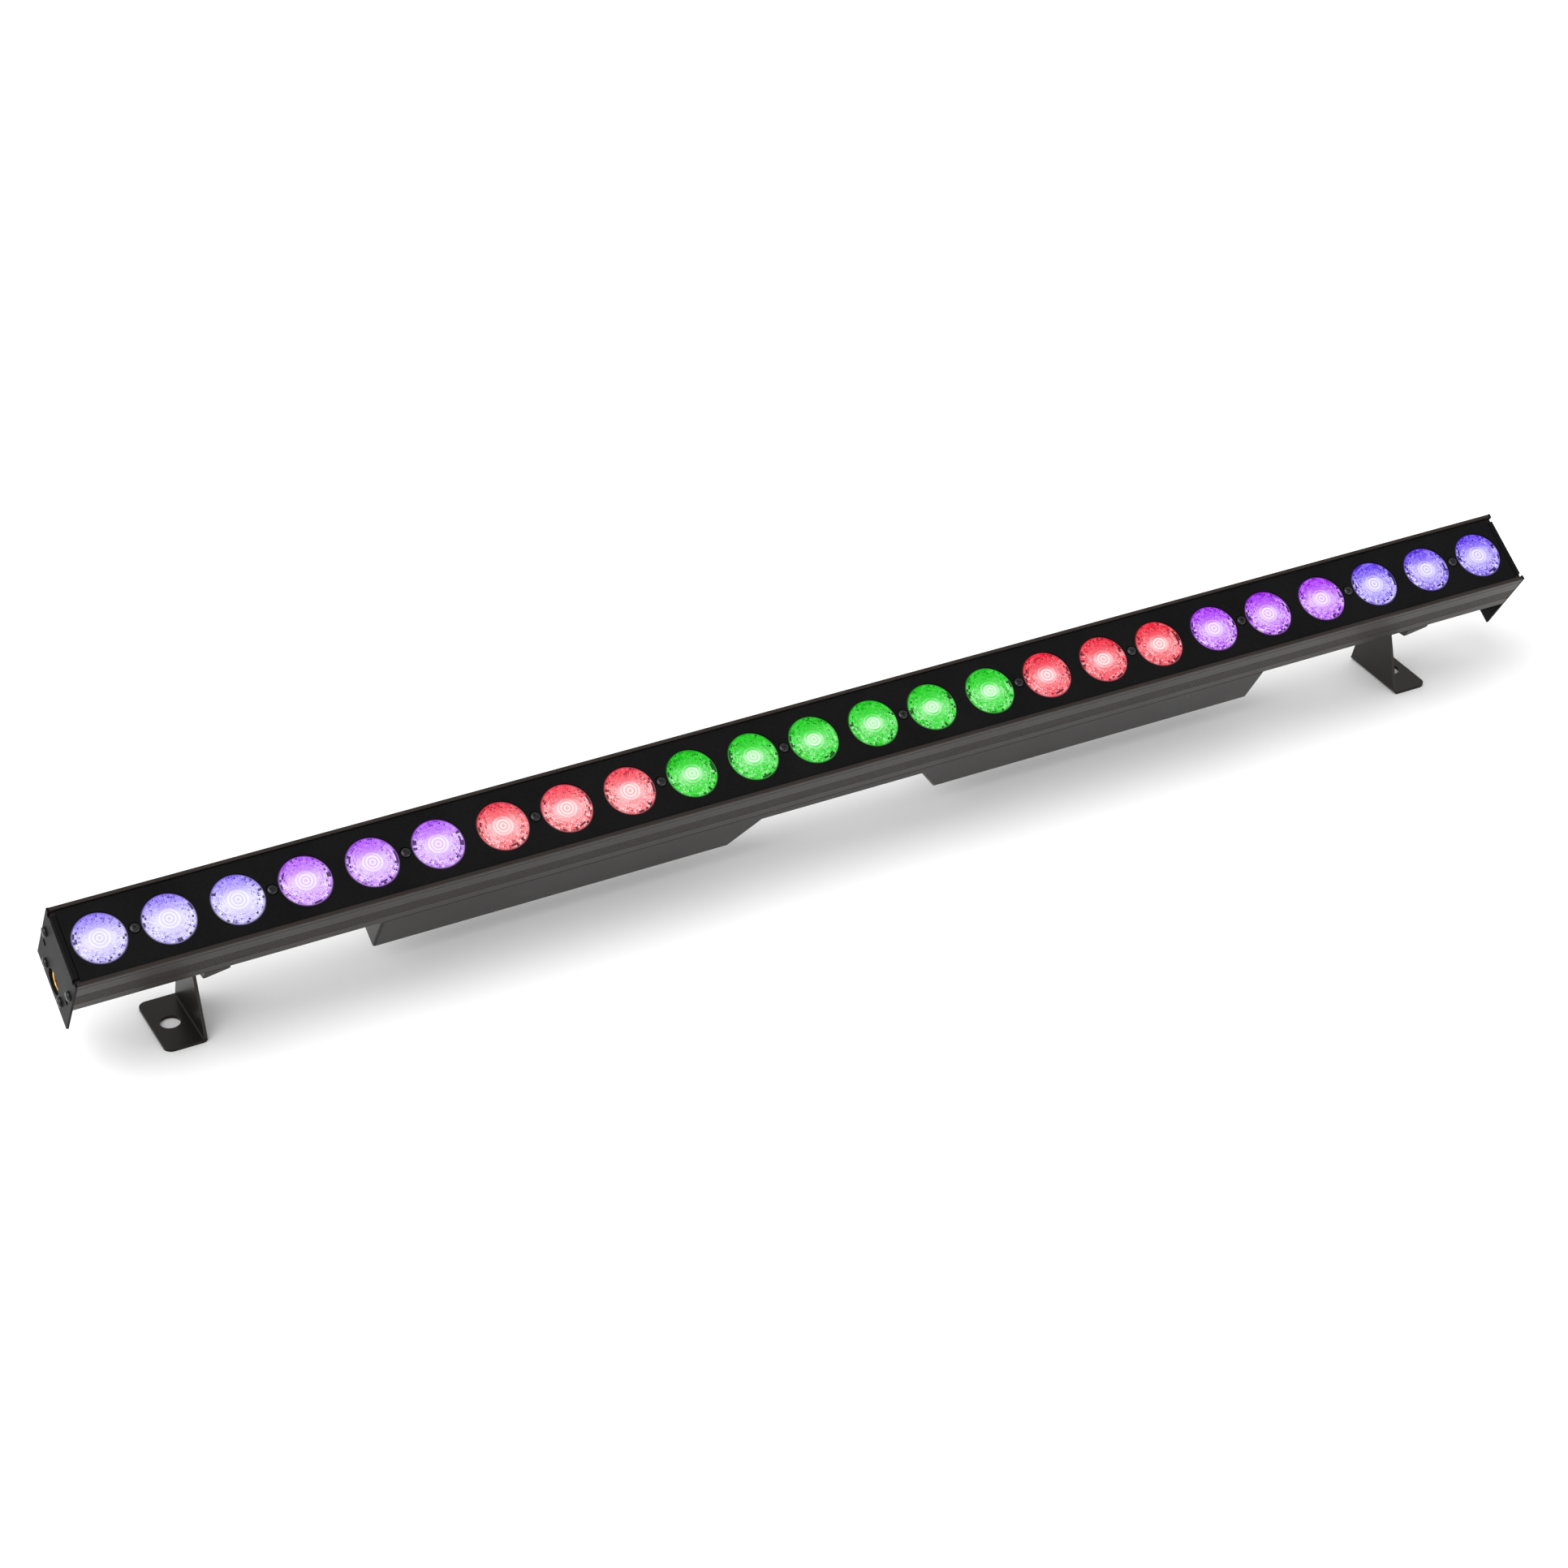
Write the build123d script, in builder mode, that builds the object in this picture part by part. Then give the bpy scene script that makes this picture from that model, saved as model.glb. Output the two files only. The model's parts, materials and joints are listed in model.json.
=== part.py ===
from build123d import *
from math import atan2, cos, degrees, hypot, radians, sin
import os

# A 1 m stage light bar: 24 lenses behind a black panel, in a fluted aluminium body,
# with a folded driver cover underneath and two tilting floor brackets.
#
# Millimetres. The bar is drawn flat: X along it, Y across it, Z out of the lens face,
# and Z = 0 on the face of the lens panel. When a piece is finished it is leaned back
# by TILT, and moved so that the feet stand on Z = 0 and the origin lies on the floor
# under the middle of the object.

# ---- driving dimensions: the bar ----
BAR_LENGTH = 1000.0          # over the end plates
BAR_WIDTH = 51.6
BODY_DEPTH = 32.5            # panel face to the underside of the body
TILT = 32.0                  # lens face leans towards -Y by this angle, in degrees

# ---- body section ----
SIDE_WALL = 2.0
FLOOR_WALL = 2.0
LIP_WIDTH = 2.4
LIP_RISE = 1.0               # lip above the panel face
LIP_ROUND = 0.8
LEDGE_WIDTH = 3.3            # shelf under the panel's edge
LEDGE_T = 2.0
DECK_T = 2.0
FLUTES = 7
FLUTE_PITCH = 1.72
FLUTE_TOP = 13.4             # first flute, below the panel face
FLUTE_R = 0.45
LIP_GROOVE_DEPTH = 2.7       # single groove under the lip
LIP_GROOVE_R = 0.35
WIRE_HOLE_R = 5.0

# ---- panel and optics ----
PANEL_T = 2.0
PANEL_GAP = 0.4              # panel edge to lip, and panel end to end plate
LENSES = 24
LENS_PITCH = 41.466
APERTURE_R = 16.3
LENS_CLEARANCE = 0.3
LENS_SINK = 0.5              # lens face below the panel face
LENS_FLANGE_R = 17.4
LENS_FLANGE_T = 1.0
LENS_DEPTH = 12.1            # panel face to the lens tip is this plus the sink
LENS_TIP_R = 6.0
LENS_WELL_R = 3.8
LENS_WELL_DEPTH = 3.6
TRAY_T = 2.0
TRAY_CLEARANCE = 0.3         # tray and board to the ledges, each side
TRAY_SKIRT = 1.5
BOARD_T = 1.6
DECK_TOP = 16.0              # below the panel face
EMITTER = 5.0
EMITTER_T = 0.9
EMITTER_DOME_R = 2.2
HALF_GAP = 0.4               # between the left and right tray or board, each side

# ---- screws ----
M3_R = 1.5
M3_HEAD_R = 3.1
M3_HEAD_H = 2.0
M3_HOLE_R = 1.7
PANEL_CBORE_R = 3.6
PANEL_CBORE_DEPTH = 1.0
PANEL_SCREW_LENGTH = 9.0
BOSS_R = 2.9
CASE_SCREW_LENGTH = 8.0
M4_R = 2.0
M4_HEAD_R = 4.0
M4_HEAD_H = 2.6
THREAD_GAP = 0.05            # radial, a drawn screw in its own thread

# ---- end plates ----
PLATE_T = 1.5
PLATE_BELOW = 25.5           # plate hangs below the body by this much
PLATE_FLANGE = 4.0           # fold over the panel end, from the plate's outer face
NOTCH_WIDTH = 2.4            # bend relief beside the fold
NOTCH_DEPTH = 2.5
PORT_INSET = 2.9             # upper screw to the side wall's inner face
PORT_DROP = 21.0             # upper screw below the panel face
LOWER_SCREW_Y = 12.9
LOWER_SCREW_BELOW = 14.5     # below the body
LINK_HOLE_R = 8.25
LINK_BELOW = 13.5            # link hole below the body
PIN_HOLE_R = 2.25
PIN_HOLE_INSET = 6.4         # plain holes, from the plate's side edge
PIN_HOLE_BELOW = 0.1
PORT_R = 3.4                 # round screw port inside the body
BLOCK_LENGTH = 16.0
BLOCK_WIDTH = 32.0
BLOCK_DEPTH = 25.0
BUSH_R = 10.0
BUSH_BORE_R = 5.25
BUSH_LENGTH = 14.0

# ---- driver cover ----
COVER_HALF = 309.0
COVER_BELOW = 35.5           # underside of the body to the cover's underside
COVER_T = 1.2
COVER_FOLD_R = 2.0
BAY_FLAT_HALF = 56.0         # flat roof of the bay between the two boxes
BAY_FOOT_HALF = 73.0         # bay at the cover's underside
BAY_GAP = 8.5                # underside of the body to the bay's roof
POST_R = 3.5
POST_X = (95.0, 290.0)

# ---- connectors in the bay's slanted walls ----
SOCKET_Y = 12.0
SOCKET_R = 9.6
SOCKET_LENGTH = 20.0
SOCKET_FLANGE_W = 23.0
SOCKET_FLANGE_H = 26.0
SOCKET_FLANGE_T = 2.0
SOCKET_WELL_R = 7.5
SOCKET_WELL_DEPTH = 13.0
SOCKET_FIT = 0.15
PIN_R = 1.2
PIN_CIRCLE_R = 3.9
PIN_LENGTH = 6.5
CONTACT_DEPTH = 10.0
BLADE_W = 4.6
BLADE_T = 1.4
LATCH_W = 6.0
LATCH_H = 3.0
LATCH_PROUD = 1.6
LATCH_OFFSET = 7.0           # latch tab above the socket's axis
LATCH_FIT = 0.3

# ---- menu: window, buttons and boards ----
WINDOW_X = -22.0
WINDOW_W = 34.0
WINDOW_H = 14.0
WINDOW_PROUD = 0.3
WINDOW_BODY = 3.2
BUTTONS = 4
BUTTON_PITCH = 12.0
BUTTON_FIRST_X = 8.0
BUTTON_R = 3.2
BUTTON_FIT = 0.3
BUTTON_PROUD = 1.4
BUTTON_FLANGE_R = 4.2
BUTTON_FLANGE_T = 0.8
BUTTON_TRAVEL = 0.8
SWITCH_GAP = 0.9             # button flange to its switch
CONTROL_W = 100.0
CONTROL_H = 44.0
CONTROL_GAP = 3.6            # cover sheet to the control board
STAND_R = 2.6
BOX_BOARD_L = 180.0
BOX_BOARD_W = 42.0
BOX_BOARD_X = 192.0
BOX_STAND = 4.0

# ---- hanger, pivot and bracket ----
BRACKET_X = 419.8            # face of each leg on its foldaway side
BRACKET_T = 2.0
PIVOT_BELOW = 15.5           # pivot axis below the body
PIVOT_HEIGHT = 52.5          # pivot axis above the floor
LEG_HEAD_R = 9.5
FOOT_WIDTH = 51.6
FOOT_LENGTH = 25.9
FOOT_CORNER_R = 5.5
FOOT_HOLE_R = 6.25
FOOT_HOLE_X = 14.2
BEND_R = 3.0
SIDE_GAP = 0.4               # between the leg and what clamps it
HANGER_T = 2.5
HANGER_LENGTH = 16.0
HANGER_HEAD_R = 10.0
HANGER_SHOULDER = 7.5        # full-width part of the tab, and depth of the side lips
HANGER_SCREW_Y = 17.0
HANGER_SCREW_X = 9.0
BOLT_R = 3.0
BOLT_RUN = 0.05              # radial running clearance on the bolt
BOLT_HEAD_R = 5.5
BOLT_HEAD_H = 4.0
BOLT_FLANGE_R = 6.5
BOLT_FLANGE_T = 1.0
KNOB_R = 10.5
KNOB_LENGTH = 14.0
KNOB_LOBES = 7
KNOB_FLUTE_R = 2.2
BOLT_STICK = 11.0            # bolt inside the knob

# ---- worked out from the above ----
half_length = BAR_LENGTH / 2
half_width = BAR_WIDTH / 2
body_half = half_length - PLATE_T
well_half = half_width - LIP_WIDTH
inner_half = half_width - SIDE_WALL
panel_half = half_length - PLATE_FLANGE - PANEL_GAP
ledge_half = inner_half - LEDGE_WIDTH
tray_width = 2 * (ledge_half - TRAY_CLEARANCE)
plate_drop = BODY_DEPTH + PLATE_BELOW
plate_flange_width = 2 * ledge_half
upper_screw_y = inner_half - PORT_INSET
lower_screw_z = -BODY_DEPTH - LOWER_SCREW_BELOW
link_z = -BODY_DEPTH - LINK_BELOW
pin_hole_y = half_width - PIN_HOLE_INSET
pin_hole_z = -BODY_DEPTH - PIN_HOLE_BELOW
bay_roof = BODY_DEPTH + BAY_GAP
cover_drop = BODY_DEPTH + COVER_BELOW
pivot_drop = BODY_DEPTH + PIVOT_BELOW
lens_x = [(i - (LENSES - 1) / 2) * LENS_PITCH for i in range(LENSES)]
screw_x = [(lens_x[i] + lens_x[i + 1]) / 2 for i in range(0, LENSES, 2)]
wire_hole_x = 4 * LENS_PITCH
tray_top = -PANEL_T - LENS_FLANGE_T
board_top = -DECK_TOP + BOARD_T
board_half = half_length - PLATE_T - 1.0
cover_inner = half_width - COVER_T
bay_slope = atan2(cover_drop - bay_roof, BAY_FOOT_HALF - BAY_FLAT_HALF)
slope_mid_x = (BAY_FOOT_HALF + BAY_FLAT_HALF) / 2
slope_mid_z = -(cover_drop + bay_roof) / 2
roof_inside = -bay_roof + COVER_T
board_z = roof_inside + CONTROL_GAP
button_x = [BUTTON_FIRST_X + i * BUTTON_PITCH for i in range(BUTTONS)]
lean = radians(TILT)
front_reach = (half_width - LIP_ROUND) * cos(lean) + (LIP_RISE - LIP_ROUND) * sin(lean) + LIP_ROUND
back_reach = ((half_width - COVER_FOLD_R) * cos(lean) + (cover_drop - COVER_FOLD_R) * sin(lean)
              + COVER_FOLD_R)
face_y = (front_reach - back_reach) / 2
face_z = PIVOT_HEIGHT + pivot_drop * cos(lean)
pivot_y = face_y + pivot_drop * sin(lean)
LEANED = Location((0, face_y, face_z), (TILT, 0, 0))

os.makedirs("parts", exist_ok=True)


def write(piece, label, place=LEANED):
    """Put a finished piece in its place, label it and write its STEP file."""
    placed = piece.moved(place)
    placed.label = label
    export_step(placed, f"parts/{label}.step")


def bay_wall(side, y=0.0, inward=0.0):
    """Plane on a slanted bay wall: Z out into the bay, X across the bar, Y down the slope."""
    out_x = -side * sin(bay_slope)
    out_z = -cos(bay_slope)
    centre = (side * slope_mid_x - out_x * inward, y, slope_mid_z - out_z * inward)
    return Plane(origin=centre, x_dir=(0, side, 0), z_dir=(out_x, 0, out_z))


# ---- body ----
with BuildPart() as housing_extrusion:
    with BuildSketch(Plane.YZ) as section:
        with Locations((0, (LIP_RISE - BODY_DEPTH) / 2)):
            RectangleRounded(BAR_WIDTH, LIP_RISE + BODY_DEPTH, LIP_ROUND)
        # well that takes the panel, then the lens chamber, then the wire channel
        with Locations((0, (LIP_RISE - PANEL_T) / 2)):
            Rectangle(2 * well_half, LIP_RISE + PANEL_T, mode=Mode.SUBTRACT)
        with Locations((0, -(PANEL_T + LEDGE_T / 2))):
            Rectangle(2 * ledge_half, LEDGE_T, mode=Mode.SUBTRACT)
        chamber = DECK_TOP - PANEL_T - LEDGE_T
        with Locations((0, -(DECK_TOP - chamber / 2))):
            Rectangle(2 * inner_half, chamber, mode=Mode.SUBTRACT)
        channel = BODY_DEPTH - FLOOR_WALL - DECK_TOP - DECK_T
        with Locations((0, -(DECK_TOP + DECK_T + channel / 2))):
            Rectangle(2 * inner_half, channel, mode=Mode.SUBTRACT)
        # round ports for the end screws
        with Locations((upper_screw_y, -PORT_DROP), (-upper_screw_y, -PORT_DROP)):
            Circle(PORT_R)
        with Locations((upper_screw_y, -PORT_DROP), (-upper_screw_y, -PORT_DROP)):
            Circle(M3_R + THREAD_GAP, mode=Mode.SUBTRACT)
        # flutes down each side, and one groove under each lip
        flute_rows = [-(FLUTE_TOP + i * FLUTE_PITCH) for i in range(FLUTES)]
        with Locations([(side * half_width, z) for side in (-1, 1) for z in flute_rows]):
            Circle(FLUTE_R, mode=Mode.SUBTRACT)
        with Locations([(side * half_width, -LIP_GROOVE_DEPTH) for side in (-1, 1)]):
            Circle(LIP_GROOVE_R, mode=Mode.SUBTRACT)
    extrude(amount=body_half, both=True)
    # wires pass through the deck and the floor
    with Locations([(side * wire_hole_x, 0, 0) for side in (-1, 1)]):
        Cylinder(WIRE_HOLE_R, 3 * BODY_DEPTH, mode=Mode.SUBTRACT)
    # cover posts and hanger screws are threaded into the floor
    with Locations([(side * x, 0, -BODY_DEPTH) for side in (-1, 1) for x in POST_X]):
        Cylinder(M3_R + THREAD_GAP, 3 * FLOOR_WALL, mode=Mode.SUBTRACT)
    with Locations([(x + HANGER_SCREW_X, side * HANGER_SCREW_Y, -BODY_DEPTH)
                    for x in (-BRACKET_X + SIDE_GAP, BRACKET_X + BRACKET_T + SIDE_GAP)
                    for side in (-1, 1)]):
        Cylinder(M4_R + THREAD_GAP, 3 * FLOOR_WALL, mode=Mode.SUBTRACT)
write(housing_extrusion.part, "housing_extrusion")

# ---- lens panel ----
with BuildPart() as lens_panel:
    with BuildSketch():
        Rectangle(2 * panel_half, 2 * (well_half - PANEL_GAP))
        with Locations([(x, 0) for x in lens_x]):
            Circle(APERTURE_R, mode=Mode.SUBTRACT)
    extrude(amount=-PANEL_T)
    with Locations([(x, 0, 0) for x in screw_x]):
        CounterBoreHole(M3_HOLE_R, PANEL_CBORE_R, PANEL_CBORE_DEPTH, depth=PANEL_T)
write(lens_panel.part, "lens_panel")


def screw(head_r, head_h, shank_r, length):
    """Domed pan-head screw, under-head face on Z = 0, shank down, with a cross recess."""
    with BuildPart() as made:
        with BuildSketch(Plane.XZ):
            with BuildLine():
                Line((0, 0), (head_r, 0))
                Line((head_r, 0), (head_r, head_h * 0.4))
                ThreePointArc((head_r, head_h * 0.4), (head_r * 0.86, head_h * 0.8), (head_r * 0.6, head_h))
                Polyline((head_r * 0.6, head_h), (0, head_h), (0, 0))
            make_face()
        revolve(axis=Axis.Z)
        with BuildSketch(Plane.XY):
            Circle(shank_r)
        extrude(amount=-length)
        with BuildSketch(Plane.XY.offset(head_h)):
            Rectangle(head_r * 1.1, head_r * 0.24)
            Rectangle(head_r * 0.24, head_r * 1.1)
        extrude(amount=-head_h * 0.55, mode=Mode.SUBTRACT)
    return made.part


def fastened(fastener, planes):
    """One group of separate copies of a fastener, each standing on its plane."""
    return Compound(children=[fastener.moved(plane.location) for plane in planes])


panel_screw = screw(M3_HEAD_R, M3_HEAD_H, M3_R, PANEL_SCREW_LENGTH)
panel_screws = fastened(panel_screw, [Plane((x, 0, -PANEL_CBORE_DEPTH)) for x in screw_x])
write(panel_screws, "panel_screws")

# ---- lenses: a faced collimator with a flange clamped under the panel ----
with BuildPart() as lens:
    face_r = APERTURE_R - LENS_CLEARANCE
    tip = -LENS_SINK - LENS_DEPTH
    cup_r = LENS_FLANGE_R - 1.9
    with BuildSketch(Plane.XZ):
        with BuildLine():
            Polyline((0, tip + LENS_WELL_DEPTH), (0, -LENS_SINK), (face_r, -LENS_SINK),
                     (face_r, -PANEL_T), (LENS_FLANGE_R, -PANEL_T), (LENS_FLANGE_R, tray_top),
                     (cup_r, tray_top))
            bulge = ((cup_r + LENS_TIP_R) / 2 + 0.8, (tray_top + tip) / 2 - 0.8)
            ThreePointArc((cup_r, tray_top), bulge, (LENS_TIP_R, tip))
            Polyline((LENS_TIP_R, tip), (LENS_WELL_R, tip), (LENS_WELL_R, tip + LENS_WELL_DEPTH),
                     (0, tip + LENS_WELL_DEPTH))
        make_face()
    revolve(axis=Axis.Z)
for number, x in enumerate(lens_x, start=1):
    write(lens.part.moved(Location((x, 0, 0))), f"lens_{number:02d}")

# ---- lens trays and light boards, one of each per half of the bar ----
for side, half in ((-1, "left"), (1, "right")):
    piece_length = board_half - HALF_GAP
    piece_x = side * (board_half + HALF_GAP) / 2
    own_lenses = [x for x in lens_x if x * side > 0]
    own_screws = [x for x in screw_x if x * side > 0]
    with BuildPart() as lens_tray:
        with BuildSketch(Plane.XY.offset(tray_top)):
            with Locations((piece_x, 0)):
                Rectangle(piece_length, tray_width)
            with Locations([(x, 0) for x in own_lenses]):
                Circle(cup_r + LENS_CLEARANCE, mode=Mode.SUBTRACT)
        extrude(amount=-TRAY_T)
        with BuildSketch(Plane.XY.offset(tray_top - TRAY_T)):
            skirt_y = (tray_width - TRAY_SKIRT) / 2
            with Locations((piece_x, skirt_y), (piece_x, -skirt_y)):
                Rectangle(piece_length, TRAY_SKIRT)
        extrude(amount=board_top - tray_top + TRAY_T)
        with BuildSketch(Plane.XY.offset(-PANEL_T)):
            with Locations([(x, 0) for x in own_screws]):
                Circle(BOSS_R)
        extrude(amount=board_top + PANEL_T)
        with BuildSketch(Plane.XY.offset(-PANEL_T)):
            with Locations([(x, 0) for x in own_screws]):
                Circle(M3_R + THREAD_GAP)
        extrude(amount=board_top + PANEL_T, mode=Mode.SUBTRACT)
    write(lens_tray.part, f"lens_tray_{half}")

    with BuildPart() as led_board:
        with BuildSketch(Plane.XY.offset(-DECK_TOP)):
            with Locations((piece_x, 0)):
                Rectangle(piece_length, tray_width)
            with Locations((side * wire_hole_x, 0)):
                Circle(WIRE_HOLE_R, mode=Mode.SUBTRACT)
        extrude(amount=BOARD_T)
    write(led_board.part, f"led_board_{half}")

with BuildPart() as led_emitters:
    with BuildSketch(Plane.XY.offset(board_top)):
        with Locations([(x, 0) for x in lens_x]):
            Rectangle(EMITTER, EMITTER)
    extrude(amount=EMITTER_T)
    with Locations([(x, 0, board_top + EMITTER_T) for x in lens_x]):
        Sphere(EMITTER_DOME_R, arc_size1=0, align=(Align.CENTER, Align.CENTER, Align.MIN))
write(led_emitters.part, "led_emitters")

# ---- end plates: a sheet with a fold over the panel's end ----
for side, half in ((-1, "left"), (1, "right")):
    with BuildPart() as end_plate:
        with BuildSketch(Plane.YZ.offset(side * body_half)) as outline:
            with Locations((0, (LIP_RISE - plate_drop) / 2)):
                Rectangle(BAR_WIDTH, LIP_RISE + plate_drop)
            with Locations((0, LIP_RISE / 2)):
                Rectangle(plate_flange_width, LIP_RISE, mode=Mode.SUBTRACT)
            notch_y = (plate_flange_width + NOTCH_WIDTH) / 2
            with Locations([(s * notch_y, (LIP_RISE - NOTCH_DEPTH) / 2) for s in (-1, 1)]):
                Rectangle(NOTCH_WIDTH, LIP_RISE + NOTCH_DEPTH, mode=Mode.SUBTRACT)
            with Locations([(s * upper_screw_y, -PORT_DROP) for s in (-1, 1)]):
                Circle(M3_HOLE_R, mode=Mode.SUBTRACT)
            with Locations([(s * LOWER_SCREW_Y, lower_screw_z) for s in (-1, 1)]):
                Circle(M3_HOLE_R, mode=Mode.SUBTRACT)
            with Locations([(s * pin_hole_y, pin_hole_z) for s in (-1, 1)]):
                Circle(PIN_HOLE_R, mode=Mode.SUBTRACT)
            with Locations((0, link_z)):
                Circle(LINK_HOLE_R, mode=Mode.SUBTRACT)
        extrude(amount=side * PLATE_T)
        with BuildSketch(Plane.XY):
            with Locations((side * (half_length - PLATE_FLANGE / 2), 0)):
                Rectangle(PLATE_FLANGE, plate_flange_width)
        extrude(amount=-PLATE_T)
        fold = end_plate.edges().filter_by(Axis.Y).filter_by_position(
            Axis.X, side * half_length - 0.1, side * half_length + 0.1).sort_by(Axis.Z)[-3:]
        outer_fold = [edge for edge in fold if abs(edge.center().Z) < 0.01]
        fillet(outer_fold, PLATE_T - 0.3)
    write(end_plate.part, f"end_plate_{half}")

# ---- link blocks and their brass bushes, behind the end plates ----
with BuildPart() as link_blocks:
    with Locations([(side * (body_half - BLOCK_LENGTH / 2), 0, -BODY_DEPTH - BLOCK_DEPTH / 2)
                    for side in (-1, 1)]):
        Box(BLOCK_LENGTH, BLOCK_WIDTH, BLOCK_DEPTH)
    with Locations([(side * body_half, 0, link_z) for side in (-1, 1)]):
        Cylinder(BUSH_R, 2 * BUSH_LENGTH, rotation=(0, 90, 0), mode=Mode.SUBTRACT)
    with Locations([(side * body_half, s * LOWER_SCREW_Y, lower_screw_z)
                    for side in (-1, 1) for s in (-1, 1)]):
        Cylinder(M3_R + THREAD_GAP, 2 * CASE_SCREW_LENGTH, rotation=(0, 90, 0), mode=Mode.SUBTRACT)
write(link_blocks.part, "link_blocks")

with BuildPart() as link_bushes:
    with BuildSketch(Plane.YZ.offset(-body_half), Plane.YZ.offset(body_half - BUSH_LENGTH)):
        with Locations((0, link_z)):
            Circle(BUSH_R)
            Circle(BUSH_BORE_R, mode=Mode.SUBTRACT)
    extrude(amount=BUSH_LENGTH)
write(link_bushes.part, "link_bushes")

# ---- driver cover: two boxes joined over the bay, open towards the body ----
cover_outline = [(-COVER_HALF, -BODY_DEPTH), (-COVER_HALF, -cover_drop), (-BAY_FOOT_HALF, -cover_drop),
                 (-BAY_FLAT_HALF, -bay_roof), (BAY_FLAT_HALF, -bay_roof), (BAY_FOOT_HALF, -cover_drop),
                 (COVER_HALF, -cover_drop), (COVER_HALF, -BODY_DEPTH)]
with BuildPart() as driver_cover:
    with BuildSketch(Plane.XZ):
        Polygon(*cover_outline, align=None)
    extrude(amount=half_width, both=True)
    under = driver_cover.edges().filter_by(GeomType.LINE).filter_by(
        lambda edge: abs(abs(edge.center().Y) - half_width) < 0.01
        and edge.center().Z < -BODY_DEPTH - 0.01 and abs(edge.center().X) < COVER_HALF - 0.01)
    ends = driver_cover.edges().filter_by(Axis.Z).filter_by_position(
        Axis.Z, -cover_drop, -BODY_DEPTH)
    fillet(under + ends, COVER_FOLD_R)
    offset(amount=-COVER_T, openings=driver_cover.faces().sort_by(Axis.Z)[-1:])
    # screw holes under the posts
    with Locations([(side * x, 0, -cover_drop) for side in (-1, 1) for x in POST_X]):
        Cylinder(M3_HOLE_R, 4 * COVER_T, mode=Mode.SUBTRACT)
    # two sockets in each slanted wall
    for side in (-1, 1):
        for y in (-SOCKET_Y, SOCKET_Y):
            with BuildSketch(bay_wall(side, y, inward=2 * COVER_T)):
                Circle(SOCKET_R + SOCKET_FIT)
            extrude(amount=3 * COVER_T, mode=Mode.SUBTRACT)
    # the window and the buttons look down into the bay
    with BuildSketch(Plane.XY.offset(-bay_roof - COVER_T)):
        with Locations((WINDOW_X, 0)):
            Rectangle(WINDOW_W + 2 * SOCKET_FIT, WINDOW_H + 2 * SOCKET_FIT)
        with Locations([(x, 0) for x in button_x]):
            Circle(BUTTON_R + BUTTON_FIT)
    extrude(amount=3 * COVER_T, mode=Mode.SUBTRACT)
write(driver_cover.part, "driver_cover")

with BuildPart() as cover_posts:
    with BuildSketch(Plane.XY.offset(-cover_drop + COVER_T)):
        with Locations([(side * x, 0) for side in (-1, 1) for x in POST_X]):
            RegularPolygon(POST_R, 6)
    extrude(amount=cover_drop - COVER_T - BODY_DEPTH)
    with BuildSketch(Plane.XY.offset(-cover_drop + COVER_T)):
        with Locations([(side * x, 0) for side in (-1, 1) for x in POST_X]):
            Circle(M3_R + THREAD_GAP)
    extrude(amount=CASE_SCREW_LENGTH, mode=Mode.SUBTRACT)
write(cover_posts.part, "cover_posts")

# one kind of screw holds the end plates and the driver cover
case_screw = screw(M3_HEAD_R, M3_HEAD_H, M3_R, CASE_SCREW_LENGTH)
end_spots = [(s * upper_screw_y, -PORT_DROP) for s in (-1, 1)]
end_spots += [(s * LOWER_SCREW_Y, lower_screw_z) for s in (-1, 1)]
case_planes = [Plane(origin=(side * half_length, y, z), z_dir=(side, 0, 0))
               for side in (-1, 1) for y, z in end_spots]
case_planes += [Plane(origin=(side * x, 0, -cover_drop), z_dir=(0, 0, -1))
                for side in (-1, 1) for x in POST_X]
write(fastened(case_screw, case_planes), "case_screws")


# ---- sockets in the bay's slanted walls ----
def socket(side, y, kind):
    """Chassis socket fitted from inside: a round shell, a flange and its contacts."""
    with BuildPart() as made:
        mouth = bay_wall(side, y)
        with BuildSketch(mouth):
            Circle(SOCKET_R)
        extrude(amount=-SOCKET_LENGTH)
        with BuildSketch(mouth.offset(-COVER_T)):
            Rectangle(SOCKET_FLANGE_W, SOCKET_FLANGE_H)
        extrude(amount=-SOCKET_FLANGE_T)
        if kind == "data_out":
            # solid insert with three contact holes, and a slot for the latch tab
            with BuildSketch(mouth):
                with PolarLocations(PIN_CIRCLE_R, 3, start_angle=30):
                    Circle(PIN_R + SOCKET_FIT)
            extrude(amount=-CONTACT_DEPTH, mode=Mode.SUBTRACT)
            with BuildSketch(mouth):
                with Locations((0, LATCH_OFFSET)):
                    Rectangle(LATCH_W + 2 * LATCH_FIT, LATCH_H + 2 * LATCH_FIT)
            extrude(amount=-(CONTACT_DEPTH + LATCH_PROUD), mode=Mode.SUBTRACT)
        elif kind == "power_out":
            # ring-shaped well round a solid core with two contact slots
            with BuildSketch(mouth):
                Circle(SOCKET_WELL_R)
                Circle(SOCKET_WELL_R - 2.4, mode=Mode.SUBTRACT)
                with Locations((-2.2, 0), (2.2, 0)):
                    Rectangle(BLADE_T, BLADE_W)
            extrude(amount=-SOCKET_WELL_DEPTH, mode=Mode.SUBTRACT)
        else:
            with BuildSketch(mouth):
                Circle(SOCKET_WELL_R)
            extrude(amount=-SOCKET_WELL_DEPTH, mode=Mode.SUBTRACT)
            with BuildSketch(mouth.offset(-SOCKET_WELL_DEPTH)):
                with PolarLocations(PIN_CIRCLE_R, 3, start_angle=30):
                    if kind == "data_in":
                        Circle(PIN_R)
                    else:
                        Rectangle(BLADE_T, BLADE_W)
            extrude(amount=PIN_LENGTH)
    return made.part


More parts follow.
